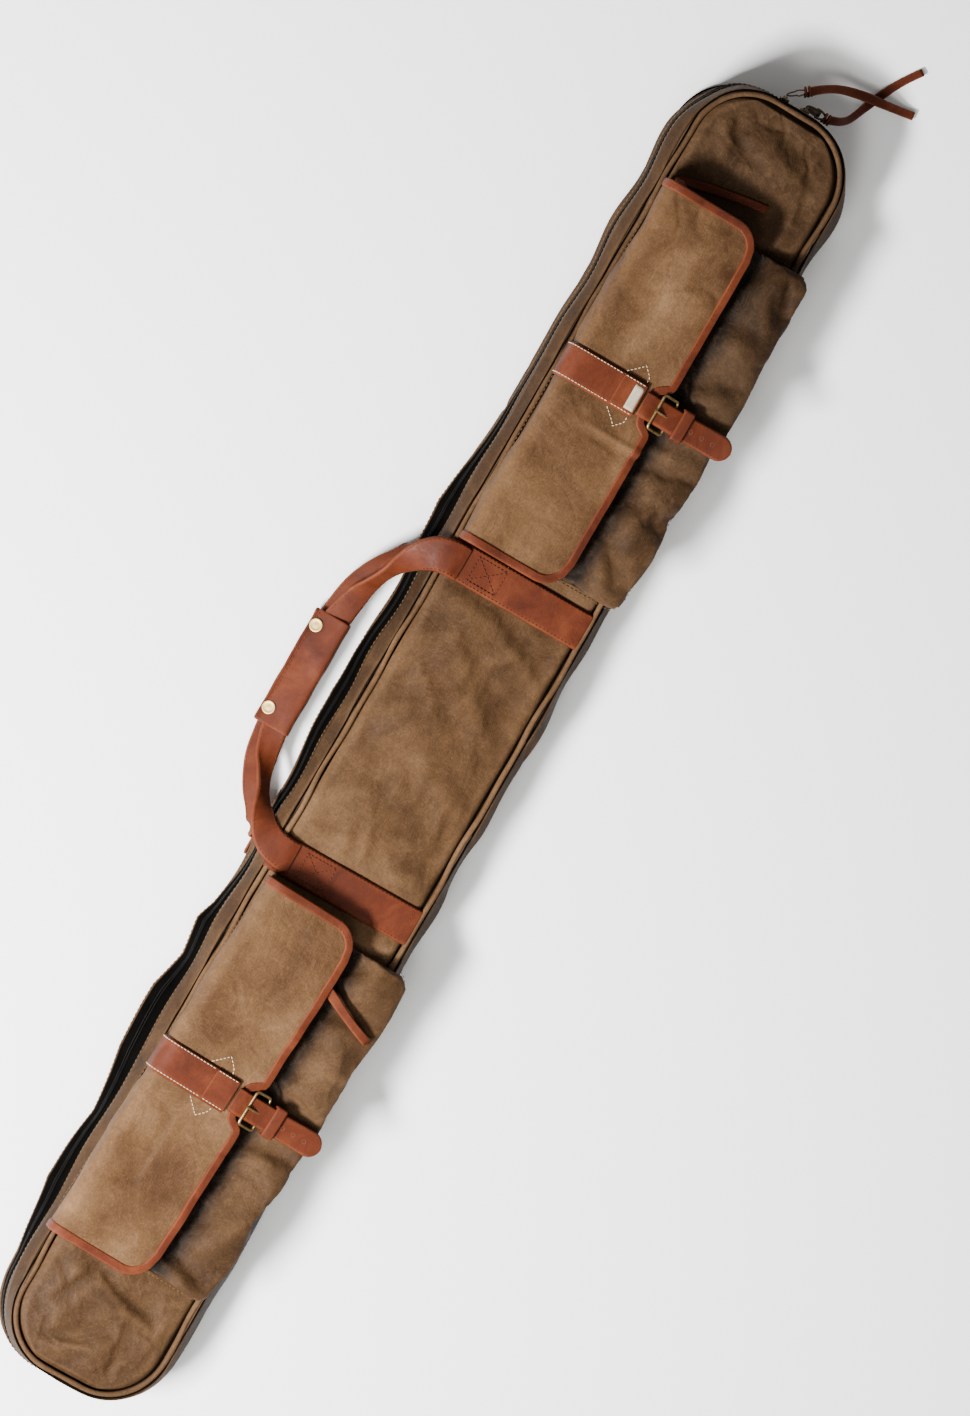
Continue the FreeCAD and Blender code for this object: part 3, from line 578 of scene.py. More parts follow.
# Each thong's route in metres, from its slider or puller to its free end, with its width.
THONGS = {
    "thong_long": ("zip_puller_long", 0.0092, [
        (-.6885, .0125, .032), (-.694, .019, .0305), (-.700, .028, .027), (-.706, .040, .0215),
        (-.710, .054, .016), (-.713, .068, .0132), (-.715, .082, .0122), (-.717, .096, .008),
        (-.719, .107, .004), (-.721, .118, .0026)]),
    "thong_short": ("zip_puller_short", 0.0086, [
        (-.6753, .041, .0315), (-.678, .050, .0295), (-.684, .060, .022), (-.694, .067, .0135),
        (-.706, .0735, .0065), (-.719, .080, .003), (-.733, .087, .0022), (-.747, .0955, .0022),
        (-.760, .105, .0022)]),
    "pocket_thong_upper": ("pocket_slider_upper", 0.0088, [
        (-.510, -.026, .0936), (-.522, -.032, .0942), (-.535, -.042, .0944),
        (-.546, -.054, .092), (-.553, -.064, .084), (-.556, -.065, .074), (-.5585, -.054, .0686),
        (-.563, -.036, .0684), (-.567, -.016, .0686), (-.571, .004, .0684),
        (-.5735, .023, .0686)]),
    "pocket_thong_lower": ("pocket_slider_lower", 0.0098, [
        (.225, -.018, .094), (.229, -.004, .0944), (.233, .012, .0943), (.239, .029, .0943),
        (.248, .047, .094), (.256, .065, .0941), (.262, .082, .0932)]),
}
# A pull's lace follows the pull at its root, and its tail stays with the slider.
TRAILS = {"zip_puller_long": "zip_slider_long", "zip_puller_short": "zip_slider_short"}
# Which way a lace's face looks, by share of its length, where it goes over an edge.
LACE_TURNS = {"pocket_thong_upper": (
    (0, (0, 0, 1)), (0.22, (-0.3, -0.3, 0.9)), (0.36, (-0.8, -0.6, 0.3)), (0.48, (-0.95, -0.3, 0.25)),
    (0.58, (-0.7, 0.1, 0.7)), (0.7, (-0.1, 0, 1)), (1, (0, 0, 1)))}


def centreline(points):
    """The smooth line that the route's points guide, as points in metres."""
    curve = bpy.data.curves.new("route", "CURVE")
    curve.dimensions = "3D"
    curve.resolution_u = 8
    spline = curve.splines.new("NURBS")
    spline.points.add(len(points) - 1)
    for point, place in zip(spline.points, points):
        point.co = (*place, 1)
    spline.order_u = 3
    spline.use_endpoint_u = True
    holder = bpy.data.objects.new("route", curve)
    line = bpy.data.meshes.new_from_object(holder)
    found = [tuple(v.co) for v in line.vertices]
    bpy.data.objects.remove(holder)
    return found


def make_thongs():
    """Flat leather laces; each lies on its face, and its free end is cut off square."""
    for name, (body, width, points) in THONGS.items():
        line = centreline(points)
        path = np.array(line) / MM
        count = len(path)
        share = np.linspace(0, 1, count)
        ups = np.stack([0.12 * np.sin(share * 5 + len(name)), 0.1 * np.cos(share * 4),
                        np.ones(count)], 1)
        if name in LACE_TURNS:
            at, faced = zip(*LACE_TURNS[name])
            ups = np.stack([np.interp(share, at, axis) for axis in zip(*faced)], 1)
        widths = 0.93 + 0.07 * np.sin(share * 9 + width / MM)
        verts, faces = sweep(path, ups, strap_section(width / MM, 2.1, 0.15), widths=widths)
        if body in TRAILS:
            body = (body, TRAILS[body], line[0], line[len(line) // 2])
        thong = make(name + "_lace", verts, faces, LEATHER, body, (name,))


make_thongs()


# ---------------------------------------------------------------- the shell

# How far the zip side's lower edge stands out beyond its upper edge, along the case.
ZIP_SPREAD = ((-660, 0), (-616, -2), (-325, -2), (-245, 4), (-197, 12), (-125, 6), (-52, 6), (0, 10),
              (60, 6), (162, -1), (221, 4), (240, 11), (276, 8), (312, 16), (376, 16), (440, 6),
              (512, 13), (585, 1), (660, 0))
ZIP_LOW, ZIP_HIGH = 24, 42
PANEL_TOP = 65.6
BACK_SEAM = 4.2


def settle(points):
    """How the soft shell lies: the zip side leans out by turns, and every wall waves a little."""
    p = np.array(points, float)
    x, y, z = p[..., 0], p[..., 1], p[..., 2]
    spread = np.interp(x, *zip(*ZIP_SPREAD))
    near = ease(-y, 30, 84)
    middle = np.interp(z, (4, ZIP_LOW, ZIP_HIGH, 63), (0, 1, 0, 0))
    lean = np.interp(z, (4, ZIP_LOW, ZIP_HIGH, 63), (0, 6.2, 6.7, 0))
    p[..., 1] += near * (lean - spread * middle)
    flat = p.reshape(-1, 3)
    loose = np.interp(flat[:, 2], (3, 14, 52, 65), (0, 1, 1, 0.25)) * ease(np.abs(flat[:, 1]), 45, 80)
    flat[:, 1] += np.sign(flat[:, 1]) * loose * 1.3 * wavy(flat[:, :1], 95, 3)
    return flat.reshape(p.shape)


def wall(levels, steps):
    """A grid of the wall through levels of (half x, half y, radius, z), steps between each pair."""
    rings = []
    for (ax, ay, ar, az), (bx, by, br, bz) in zip(levels, levels[1:]):
        for t in np.linspace(0, 1, steps, endpoint=False):
            rings.append(at_level(outline(ax + (bx - ax) * t, ay + (by - ay) * t, ar + (br - ar) * t),
                                  az + (bz - az) * t))
    ax, ay, ar, az = levels[-1]
    rings.append(at_level(outline(ax, ay, ar), az))
    return np.array(rings)


def zip_run(grid, keep=True, like=None):
    """The stretch of a wall that the zip runs along, or else the folding side's stretch."""
    x, y = (grid if like is None else like)[0, :, :2].T
    folding = (y > 60) & (x > ZIP_GAP[0]) & (x < ZIP_GAP[1])
    picked = np.flatnonzero(~folding if keep else folding)
    cut = np.flatnonzero(np.diff(picked) > 1)
    if len(cut):
        picked = np.roll(picked, -(cut[0] + 1))
    return grid[:, picked]


def outward(grid):
    """Unit normals that point away from the case's long axis."""
    normal = grid_normals(grid)
    away = grid.copy()
    away[..., 0] = np.sign(grid[..., 0]) * np.maximum(np.abs(grid[..., 0]) - 590, 0)
    away[..., 2] = 0
    flip = np.sign((normal * away).sum(2, keepdims=True))
    return normal * np.where(flip == 0, 1, flip)


def stitch_line(path, ups, pitch=4.2, long=2.7, thick=0.42, lift=0.25):
    """Sewing along a path: a row of short threads with tapered ends."""
    path = np.asarray(path, float)
    ups = np.broadcast_to(np.asarray(ups, float), path.shape)
    run = lengths(path)
    at = np.arange(pitch / 2, run[-1], pitch)
    centre = read_at(at, run, path)
    ahead = unit(read_at(at + 0.5, run, path) - read_at(at - 0.5, run, path))
    side = unit(np.cross(ahead, read_at(at, run, ups)))
    up = np.cross(side, ahead)
    verts, faces = [], []
    ring = circle(thick, 6)
    for c, a, s, u in zip(centre, ahead, side, up):
        first = len(verts)
        for along, size, sink in ((-0.5, 0.35, -0.35), (-0.28, 1, 0), (0.28, 1, 0), (0.5, 0.35, -0.35)):
            middle = c + a * along * long + u * (lift + sink)
            verts += [middle + s * size * p + u * size * q for p, q in ring]
        for r in range(3):
            faces += [(first + r * 6 + i, first + r * 6 + (i + 1) % 6,
                       first + r * 6 + 6 + (i + 1) % 6, first + r * 6 + 6 + i) for i in range(6)]
        faces += [tuple(range(first, first + 6))[::-1], tuple(range(first + 18, first + 24))]
    return verts, faces


def sew(name, lines, body, slot="leather", thread=None, **how):
    """Several rows of stitches as one piece."""
    verts, faces = [], []
    for path, ups in lines:
        more, more_faces = stitch_line(path, ups, **how)
        faces += shifted(more_faces, len(verts))
        verts += more
    return make(name, verts, faces, thread or THREAD, body, ())


def panel_grid(half_x, half_y, radius, rows=46, columns=300):
    """A grid over a rounded rectangle, with its columns closer together at the ends."""
    x = half_x * np.sin(np.linspace(-1, 1, columns) * math.pi / 2 * 0.999)
    x = np.sign(x) * np.abs(x) ** 0.9 * half_x ** 0.1
    over = np.clip(np.abs(x) - (half_x - radius), 0, radius)
    reach = half_y - radius + np.sqrt(np.maximum(radius ** 2 - over ** 2, 0))
    across = np.linspace(-1, 1, rows)
    grid = np.zeros((rows, columns, 3))
    grid[..., 0] = x[None]
    grid[..., 1] = across[:, None] * reach[None]
    edge = np.minimum(reach[None] - np.abs(grid[..., 1]), half_x - np.abs(grid[..., 0]))
    return grid, np.maximum(edge, 0)


FRONT_FOLDS = (   # where each pull in the front canvas starts and ends, its width and its height
    ((-96, 70), (-136, -20), 5, 3.0), ((-52, 72), (-70, 10), 4.5, 3.0), ((-70, 12), (-104, -34), 5, 2.6),
    ((-26, 62), (-60, 10), 6, 2.4), ((-60, 10), (-40, -34), 4.5, 2.2), ((-30, -2), (-66, -50), 5, 2.2),
    ((-108, 40), (-72, -6), 6, -2.2), ((-6, 30), (-30, -8), 4.5, 2.0), ((36, 66), (10, -8), 7, 2.2),
    ((70, 44), (112, -40), 5, 2.4), ((40, 22), (66, -58), 5, 1.8), ((96, 64), (126, 6), 6, 2.0),
    ((84, -18), (122, -8), 4.5, 2.2), ((20, -20), (48, 4), 6, -1.8), ((-130, 68), (-100, 56), 5, 2.4),
    ((-610, 44), (-640, -20), 9, 1.6), ((-600, -30), (-630, -50), 7, 1.4), ((585, 50), (560, -50), 8, 2.2),
    ((612, 24), (640, -40), 8, 1.8), ((604, -50), (560, -30), 6, 1.8))
DIMPLES = (((-34, -10), 7, 3.0), ((-16, 26), 6, 2.2), ((-180, 66), 12, 2.4), ((-62, 48), 7, 2.0))


def front_relief(flat):
    """The front canvas between the pockets: pulls, creases and dimples, in millimetres."""
    rise = 0.8 * wavy(flat, 120, 11) + 0.6 * wavy(flat, 46, 12) - 1.2 * creases(flat, 60, 13, 0.1)
    for start, end, width, height in FRONT_FOLDS:
        rise += fold(flat, start, end, width, height)
    for place, size, depth in DIMPLES:
        rise -= depth * np.exp(-((flat - place) ** 2).sum(1) / size ** 2)
    return rise


def make_shell():
    seam_front = (*PANEL_HALF, SEAM_RADIUS)
    middle = (*MIDDLE_HALF, MIDDLE_RADIUS)

    # front panel: crowned between its seams, pressed flat under the pockets and the bands
    grid, edge = panel_grid(659.4, 72.4, 54)
    flat = grid[..., :2].reshape(-1, 2)
    free = np.ones(len(flat))
    for x, _, _ in POCKETS.values():
        free = np.minimum(free, ease(np.abs(flat[:, 0] - x), 168, 192) + ease(np.abs(flat[:, 1]), 70, 78))
    for x in BANDS.values():
        free = np.minimum(free, ease(np.abs(flat[:, 0] - x), 17, 30))
    free *= 1 - 0.85 * np.exp(-((flat[:, 0] + 565) / 26) ** 4) * ease(-flat[:, 1], -48, -36)
    tuck = ease(edge.ravel(), 0, 6)
    rise = tuck * free * (1.8 + 1.3 * front_relief(flat) + 2.0 * ease(edge.ravel(), 5, 50))
    grid[..., 2] = (PANEL_TOP - 4.4 + 4.2 * tuck + np.clip(rise, -2.8, 8.0)).reshape(edge.shape)
    loose = (free * ease(edge.ravel(), 6, 16)).ravel()
    settled, _ = swell(grid, quads(*edge.shape), lambda p: 1 - loose, 0.25, 0.022, 4.0)
    settled[:, 2] = np.clip(settled[:, 2], PANEL_TOP - 4.4, 74.0)
    grid = settled.reshape(grid.shape)
    level = grid[1:-1, 1:-1, 2]
    around = (grid[:-2, 1:-1, 2] + grid[2:, 1:-1, 2] + grid[1:-1, :-2, 2] + grid[1:-1, 2:, 2]) / 4
    level[:] = around + np.clip(level - around, -0.35, 0.35)
    verts, faces, _ = thick_sheet(*edge.shape, grid, np.broadcast_to(UP, grid.shape), 2.2)
    make("front_panel_cloth", verts, faces, CANVAS, "lid", ("front_panel",))

    # back panel: flat where the case rests, hollowed for the two bands
    grid, edge = panel_grid(659.4, 72.4, 54, 34, 260)
    flat = grid[..., :2].reshape(-1, 2)
    hollow = np.zeros(len(flat))
    for x in BANDS.values():
        hollow = np.maximum(hollow, 1 - ease(np.abs(flat[:, 0] - x), 18.5, 27))
    lift = 0.3 + 1.9 * hollow + 1.6 * (1 - ease(edge.ravel(), 0, 9)) \
        + 0.35 * (1 + np.clip(wavy(flat, 70, 21), -1, 1)) + 0.6 * creases(flat, 55, 22)
    grid[..., 2] = lift.reshape(edge.shape)
    verts, faces, _ = thick_sheet(*edge.shape, grid, np.broadcast_to(-UP, grid.shape), 2.4)
    make("back_panel_cloth", verts, faces, CANVAS, "base", ("back_panel",))

    # piping, covered in canvas, with the slight wave of a hand-turned seam
    for side, z, body in (("front", 65.2, "lid"), ("back", BACK_SEAM, "base")):
        path = at_level(outline(*seam_front), z)
        around = np.linspace(0, 2 * math.pi, len(path), endpoint=False)
        sway = 0.7 * np.sin(23 * around + z) + 0.5 * np.sin(41 * around)
        path[:, 1] += sway * np.sign(path[:, 1]) * ease(np.abs(path[:, 1]), 50, 74)
        path[:, 2] += 0.35 * np.sin(31 * around) * (side == "front")
        verts, faces = sweep(path, UP, circle(2.5, 14), closed=True,
                             widths=1 + 0.05 * np.sin(57 * around))
        make(f"{side}_piping_cord", verts, faces, CANVAS, body, (f"{side}_piping",))

        # painted shade: near-black cords laid in the grooves on both sides of the piping, standing for the
        # shade a turned seam's grooves hold
        for away, depth, part in ((-3.1, -2.6, "inner"), (3.3, 0.2, "outer")):
            painted_shade_cord = at_level(outline(seam_front[0] + away, seam_front[1] + away, SEAM_RADIUS + away),
                               65.2 + depth if side == "front" else BACK_SEAM - depth)
            verts, faces = sweep(painted_shade_cord, UP, circle(0.8, 8), closed=True)
            make(f"{side}_seam_crevice_{part}", verts, faces, TAPE, body, ())
        # the seam allowance inside
        inside = outline(seam_front[0] - 0.8, seam_front[1] - 0.8, SEAM_RADIUS)
        inside = at_level(inside, 58.8 if side == "front" else 7.4)
        verts, faces = sweep(inside, UP, circle(2.2, 12) * (1.4, 1.0), closed=True)
        make(f"{side}_seam_allowance", verts, faces, SHADED_SIDE_CANVAS, body, ())

    # gussets: canvas outside, its darker copy as painted shade, and lining inside
    front = wall([(*middle, ZIP_HIGH - 0.4), (667.6, 89.5, 69, 52),
                  (PANEL_HALF[0] + 4.2, PANEL_HALF[1] + 4.6, SEAM_RADIUS + 3, 65.4),
                  (PANEL_HALF[0] + 2.2, PANEL_HALF[1] + 2.2, SEAM_RADIUS, 61.5)], 7)
    back = wall([(PANEL_HALF[0] + 0.6, PANEL_HALF[1] + 0.6, SEAM_RADIUS, 5.4), (667.6, 88.5, 69, 15),
                 (*middle, ZIP_LOW + 0.4)], 7)
    for side, grid, body, seed in (("front", front, "lid", 31), ("back", back, "base", 33)):
        grid = settle(grid)
        rows, columns = grid.shape[:2]
        normal = outward(grid)
        middle_share = np.sin(np.linspace(0, math.pi, rows))[:, None, None]
        ripple = (wavy(grid.reshape(-1, 3), 55, seed) * 1.1
                  - 1.3 * creases(grid.reshape(-1, 3), 60, seed + 2)).reshape(rows, columns, 1)
        grid = grid + normal * ripple * middle_share
        verts, faces, top = thick_sheet(rows, columns, grid, normal, 2.2, around=True)
        sides = np.zeros(len(faces), int)
        sides[top:2 * top] = 1
        make(f"{side}_gusset_cloth", verts, faces, (SHADED_SIDE_CANVAS, LINING), body, (f"{side}_gusset",),
             sides=sides)
        edge_row = zip_run(grid)[1 if side == "front" else -2]
        edge_up = zip_run(normal, like=grid)[1 if side == "front" else -2]
        sew(f"{side}_zip_sewing", [(edge_row, edge_up)], body, "canvas", KHAKI_THREAD, pitch=4.6, thick=0.34)

    # zip: two tapes and the coil between them, then the folding side
    for side, low, high, body in (("lower", ZIP_LOW - 1.2, 32.4, "base"),
                                  ("upper", 33.6, ZIP_HIGH + 1.2, "lid")):
        tape = settle(zip_run(wall([(*middle, low), (*middle, high)], 5)))
        normal = outward(tape)
        tape = tape - normal * 0.9
        verts, faces, _ = thick_sheet(*tape.shape[:2], tape, normal, 1.1)
        make(f"zip_tape_{side}_cloth", verts, faces, TAPE, body, (f"zip_tape_{side}",))
        level = 32.1 if side == "lower" else 33.9
        line = settle(zip_run(wall([(*middle, level),
                                    (*middle, level + 0.01)], 1)))[0]
        out = outward(np.array([line, line + (0, 0, 1.0)]))[0]
        run = lengths(line)
        at = np.arange(0, run[-1], 0.7)
        line, out = read_at(at, run, line), read_at(at, run, out)
        widths = 1 + 0.22 * np.sin(at * math.pi / 0.7 + math.pi / 2)
        verts, faces = sweep(line - out * 0.5, out, circle(0.85, 6) * (1, 0.8), widths=widths)
        make(f"zip_coil_{side}", verts, faces, TEETH, body, (f"zip_teeth_{side}",))
    fold_side = zip_run(wall([(*middle, ZIP_LOW - 0.5),
                              (*middle, ZIP_HIGH + 0.5)], 12), keep=False)
    fold_side = settle(fold_side)
    normal = outward(fold_side)
    fold_side -= normal * (0.5 + 0.9 * np.sin(np.linspace(0, math.pi, len(fold_side)))[:, None, None])
    verts, faces, _ = thick_sheet(*fold_side.shape[:2], fold_side, normal, 1.6)
    make("folding_side_cloth", verts, faces, CANVAS,
         ("base", "lid", (0, 0.0915, 0.027), (0, 0.0915, 0.039)), ("hinge_gusset",))
    tabs_verts, tabs_faces = [], []
    for x in ZIP_GAP:
        spot = np.array([[x - 6 + 2 * i, 92.6 + 0.5 * math.sin(i), 0.0] for i in range(7)])
        grid = np.array([spot + (0, 0, z) for z in np.linspace(24.5, 32.0, 6)])
        grid[..., 1] -= np.clip(np.abs(grid[..., 0]) - 598, 0, 40) ** 2 / 140
        verts, faces, _ = thick_sheet(6, 7, grid, np.broadcast_to((0, 1.0, 0), grid.shape), 1.1)
        tabs_faces += shifted(faces, len(tabs_verts))
        tabs_verts += list(verts)
    make("zip_end_tab_cloth", tabs_verts, tabs_faces, FLAP_CANVAS, "base", ("zip_end_tabs",))


make_shell()


def make_inside():
    """Foam boards under a quilted lining on both halves, and the soft divider between the cues."""
    for side, body, foam, lining, up in (("front", "lid", (57.2, 62.4), 56.2, -1.0),
                                         ("back", "base", (5.4, 10.8), 11.8, 1.0)):
        grid, edge = panel_grid(654, 67, 50, 24, 160)
        puff = 0.5 * ease(edge, 0, 6)
        low, high = grid.copy(), grid.copy()
        low[..., 2] = foam[0] + 0.6 - puff
        high[..., 2] = foam[1] - 0.6 + puff
        verts = np.concatenate([high.reshape(-1, 3), low.reshape(-1, 3)])
        _, faces, _ = thick_sheet(*edge.shape, high, np.broadcast_to(UP, high.shape), 1)
        pad = make(f"{side}_foam_board", verts, faces, FOAM, body, (f"{side}_foam",))
        grid, edge = panel_grid(656.5, 69.5, 52, 40, 300)
        quilt = np.minimum(np.abs(np.sin(grid[..., 0] * math.pi / 80)),
                           np.abs(np.sin(grid[..., 1] * math.pi / 46)))
        puff = 0.5 * np.sqrt(quilt) * ease(edge, 0, 8)
        grid[..., 2] = lining + up * (puff - 0.5)
        verts, faces, _ = thick_sheet(*edge.shape, grid, np.broadcast_to(UP * up, grid.shape), 0.7)
        make(f"{side}_lining_cloth", verts, faces, LINING, body, (f"{side}_lining",))
    along = np.linspace(-549.5, 549.5, 240)
    share = np.linspace(0, 2 * math.pi, 28, endpoint=False)
    section = np.stack([3.7 * np.sign(np.cos(share)) * np.abs(np.cos(share)) ** 0.6,
                        20.6 * np.sign(np.sin(share)) * np.abs(np.sin(share)) ** 0.35], 1)
    path = np.stack([along, 0.5 * np.sin(along / 60), np.full_like(along, 33.2)], 1)
    ends = np.clip(np.minimum(along + 549.5, 549.5 - along) / 4, 0.25, 1) ** 0.5
    verts, faces = sweep(path, UP, section, widths=ends)
    divider = make("cue_divider_pad", verts, faces, LINING, "base", ("inner_divider",))


make_inside()


# ---------------------------------------------------------------- pockets and flaps

def on_pocket(points, side):
    """Puts points made about a pocket's centre in that pocket's place."""
    x, y, yaw = POCKETS[side]
    c, s = math.cos(math.radians(yaw)), math.sin(math.radians(yaw))
    points = np.asarray(points, float)
    out = points.copy()
    out[..., 0] = x + c * points[..., 0] - s * points[..., 1]
    out[..., 1] = y + s * points[..., 0] + c * points[..., 1]
    return out


def turned(direction, side):
    yaw = math.radians(POCKETS[side][2])
    direction = np.asarray(direction, float)
    out = direction.copy()
    out[..., 0] = math.cos(yaw) * direction[..., 0] - math.sin(yaw) * direction[..., 1]
    out[..., 1] = math.sin(yaw) * direction[..., 0] + math.cos(yaw) * direction[..., 1]
    return out


def flap_link(side):
    """The flap's canvas and band hang from the lid and turn with the flap past their bend."""
    start = on_pocket((0, -76, 86), side) * MM
    end = on_pocket((0, -65, 98), side) * MM
    return "lid", f"flap_{side}", tuple(start), tuple(end)


POCKET_TALL = 91.5
FLAP_HALF = 187
FLAP_LONG = 134.0   # nominal, from its root to its free edge
FLAP_CORNER = 29
# The flap's section from its root on the pocket's wall, over the bend, to its free edge.
FLAP_WAY = np.array([(-73.6, 70), (-75.4, 78), (-76.2, 87), (-74.6, 94.5), (-69, 98.6), (-58, 99.4),
                     (-40, 99.2), (-20, 99.0), (0, 98.7), (14, 98.2), (25.2, 96.6)], float)


def flap_surface(x, share, side, lift=0.0):
    """Points on the flap for x across it and share, 0 to 1, from its root to its free edge."""
    way = curve_through(np.stack([np.zeros(len(FLAP_WAY)), FLAP_WAY[:, 0], FLAP_WAY[:, 1]], 1), 400)
    run = lengths(way)
    whole = run[-1]
    notch = 13 * np.exp(-(x / 21) ** 8)
    at = share * (whole - notch * ease(share, 0.5, 1))
    y, z = np.interp(at, run, way[:, 1]), np.interp(at, run, way[:, 2])
    slope_y = np.interp(at + 1, run, way[:, 1]) - np.interp(at - 1, run, way[:, 1])
    slope_z = np.interp(at + 1, run, way[:, 2]) - np.interp(at - 1, run, way[:, 2])
    size = np.hypot(slope_y, slope_z)
    up_y, up_z = -slope_z / size, slope_y / size
    flat = np.stack([x, at], -1).reshape(-1, 2)
    seed = {"upper": 51, "lower": 61}[side]
    strap_free = ease(np.abs(x), 16, 34)
    rise = (1.3 * wavy(flat, 90, seed) + 0.5 * wavy(flat, 34, seed + 1)
            - 1.0 * creases(flat, 60, seed + 2)).reshape(np.shape(x)) * strap_free
    if side == "upper":
        rise = rise + 2.2 * np.exp(-((x - 42) / 4.0) ** 2) * ease(at, 55, 90) \
            - 1.8 * np.exp(-((x - 49) / 3.5) ** 2) * ease(at, 55, 90)
    droop = ease(np.abs(x), 150, FLAP_HALF) * 1.6 - 1.0 * ease(share, 0.8, 1) * np.sin(x / 38 + seed)
    rise = rise - droop * ease(at, 40, 70) * strap_free
    clear = 2.8 * ease(y, -42, -30) * (1 - ease(np.abs(x), 165, 180))
    rise = np.clip(rise, -3.6 + clear, 2.8) + lift
    return np.stack([x, y + up_y * rise, z + up_z * rise], -1), np.stack([np.zeros_like(x), up_y, up_z], -1)


def flap_line(x, share, side, lift):
    """A line laid on the flap, in its pocket's place, and which way its face looks."""
    path, up = flap_surface(x, share, side, lift)
    return on_pocket(path, side), turned(up, side)


def flap_share(y):
    """The share of the flap's length, from its root, at which it reaches local y on its top."""
    run = np.concatenate([[0], np.cumsum(np.hypot(*np.diff(FLAP_WAY, axis=0).T))])
    return np.interp(y, FLAP_WAY[4:, 0], run[4:] / run[-1])


def flap_half(share, trim=0.0):
    """Half the flap's width where share of its length is behind."""
    left = (1 - share) * FLAP_LONG
    over = np.clip(FLAP_CORNER - left, 0, FLAP_CORNER)
    return FLAP_HALF - trim - FLAP_CORNER + np.sqrt(np.maximum(FLAP_CORNER ** 2 - over ** 2, 0))


def make_flap(side):
    link = flap_link(side)
    rows, columns = 60, 150
    share = np.linspace(0, 1, rows) ** 0.9
    across = np.linspace(-1, 1, columns)
    s, a = np.meshgrid(share, across, indexing="ij")
    x = a * flap_half(s, trim=1.5)
    points, ups = flap_surface(x, s * 0.992, side)
    verts, faces, _ = thick_sheet(rows, columns, on_pocket(points, side), turned(ups, side), 1.7)
    canvas_piece = make(f"flap_{side}_cloth", verts, faces, FLAP_CANVAS, link, (f"flap_{side}",))

    # leather binding, folded over three edges, and its stitches
    t = np.linspace(0.06, 1, 46)
    left = np.stack([-flap_half(t), t], 1)
    free_x = np.linspace(-flap_half(np.array(1.0)), flap_half(np.array(1.0)), 140)
    free = np.stack([free_x, np.ones_like(free_x)], 1)
    edge = np.concatenate([left, free[1:-1], left[::-1] * (-1, 1)])
    inset_by = 3.6
    run = np.gradient(edge * (1, FLAP_LONG), axis=0)
    run /= np.linalg.norm(run, axis=1, keepdims=True)
    inner = np.stack([-run[:, 1], run[:, 0]], 1)
    inner *= np.sign((inner * (np.array([0, FLAP_LONG / 2]) - edge * (1, FLAP_LONG))).sum(1, keepdims=True))
    centre = edge + inner * inset_by / (1, FLAP_LONG)
    centre[:, 1] = np.clip(centre[:, 1], 0, 1)
    path, up = flap_line(centre[:, 0], centre[:, 1], side, -0.75)
    verts, faces = sweep(path, up, strap_section(8.6, 4.2, 0.3))
    make(f"flap_binding_{side}_leather", verts, faces, LEATHER, link, (f"flap_binding_{side}",))
    seam = edge + inner * 6.3 / (1, FLAP_LONG)
    seam[:, 1] = np.clip(seam[:, 1], 0, 1)
    sew(f"flap_binding_{side}_sewing", [flap_line(seam[:, 0], seam[:, 1], side, 1.25)], link,
        thread=TAN_THREAD, pitch=4.4, thick=0.32, lift=0.1)
    return link


def make_band(side, link):
    """The wide band that crosses the flap, its overlay and its sewing."""
    share = np.linspace(0.0, 0.86, 70)
    path, up = flap_line(np.zeros(70), share, side, 1.55)
    verts, faces = sweep(path, up, strap_section(34, 2.0, 0.15, 15))
    make(f"flap_band_{side}_leather", verts, faces, LEATHER, link, (f"flap_band_{side}",))
    share = np.linspace(0.61, 0.87, 30)
    path, up = flap_line(np.zeros(30), share, side, 3.3)
    verts, faces = sweep(path, up, strap_section(33.4, 1.9, 0.2, 15))
    make(f"band_overlay_{side}", verts, faces, LEATHER, f"flap_{side}", ())
    rows = []
    for x in (-14.6, 14.6):
        share = np.linspace(0.03, 0.6, 60)
        line, up = flap_surface(np.full(60, 0.0), share, side, lift=2.75)
        rows.append((on_pocket(line + (x, 0, 0), side), turned(up, side)))
        share = np.linspace(0.62, 0.86, 26)
        line, up = flap_surface(np.full(26, 0.0), share, side, lift=4.35)
        rows.append((on_pocket(line + (x, 0, 0), side), turned(up, side)))
    sew(f"flap_band_{side}_sewing", rows, link, pitch=3.6, thick=0.34)
    centre = -10 if side == "upper" else -20
    corners = np.array([(17.5, 14), (31, 0), (17.5, -14)], float)
    line = np.concatenate([np.linspace(p, q, 9) for p, q in zip(corners, corners[1:])])
    diamonds = []
    for sign in (-1, 1):
        spot = np.stack([sign * line[:, 0], line[:, 1] + centre], 1)
        diamonds.append(flap_line(spot[:, 0], flap_share(spot[:, 1]), side, 0.2))
    sew(f"flap_diamond_{side}_sewing", diamonds, f"flap_{side}", "canvas", pitch=3.6, thick=0.36, lift=0.25)
    if side == "upper":
        x, y = np.meshgrid(np.linspace(-12, 12, 9), np.linspace(-11.5, -2.0, 5))
        z = np.interp(y, FLAP_WAY[4:, 0], FLAP_WAY[4:, 1]) + 4.75 + 0.12 * np.sin(x)
        patch = np.stack([x, y, z], -1)
        verts, faces, _ = thick_sheet(5, 9, patch, np.broadcast_to(UP, patch.shape), 0.5)
        make("plain_woven_patch", on_pocket(verts, side), faces, LABEL, f"flap_{side}", ())


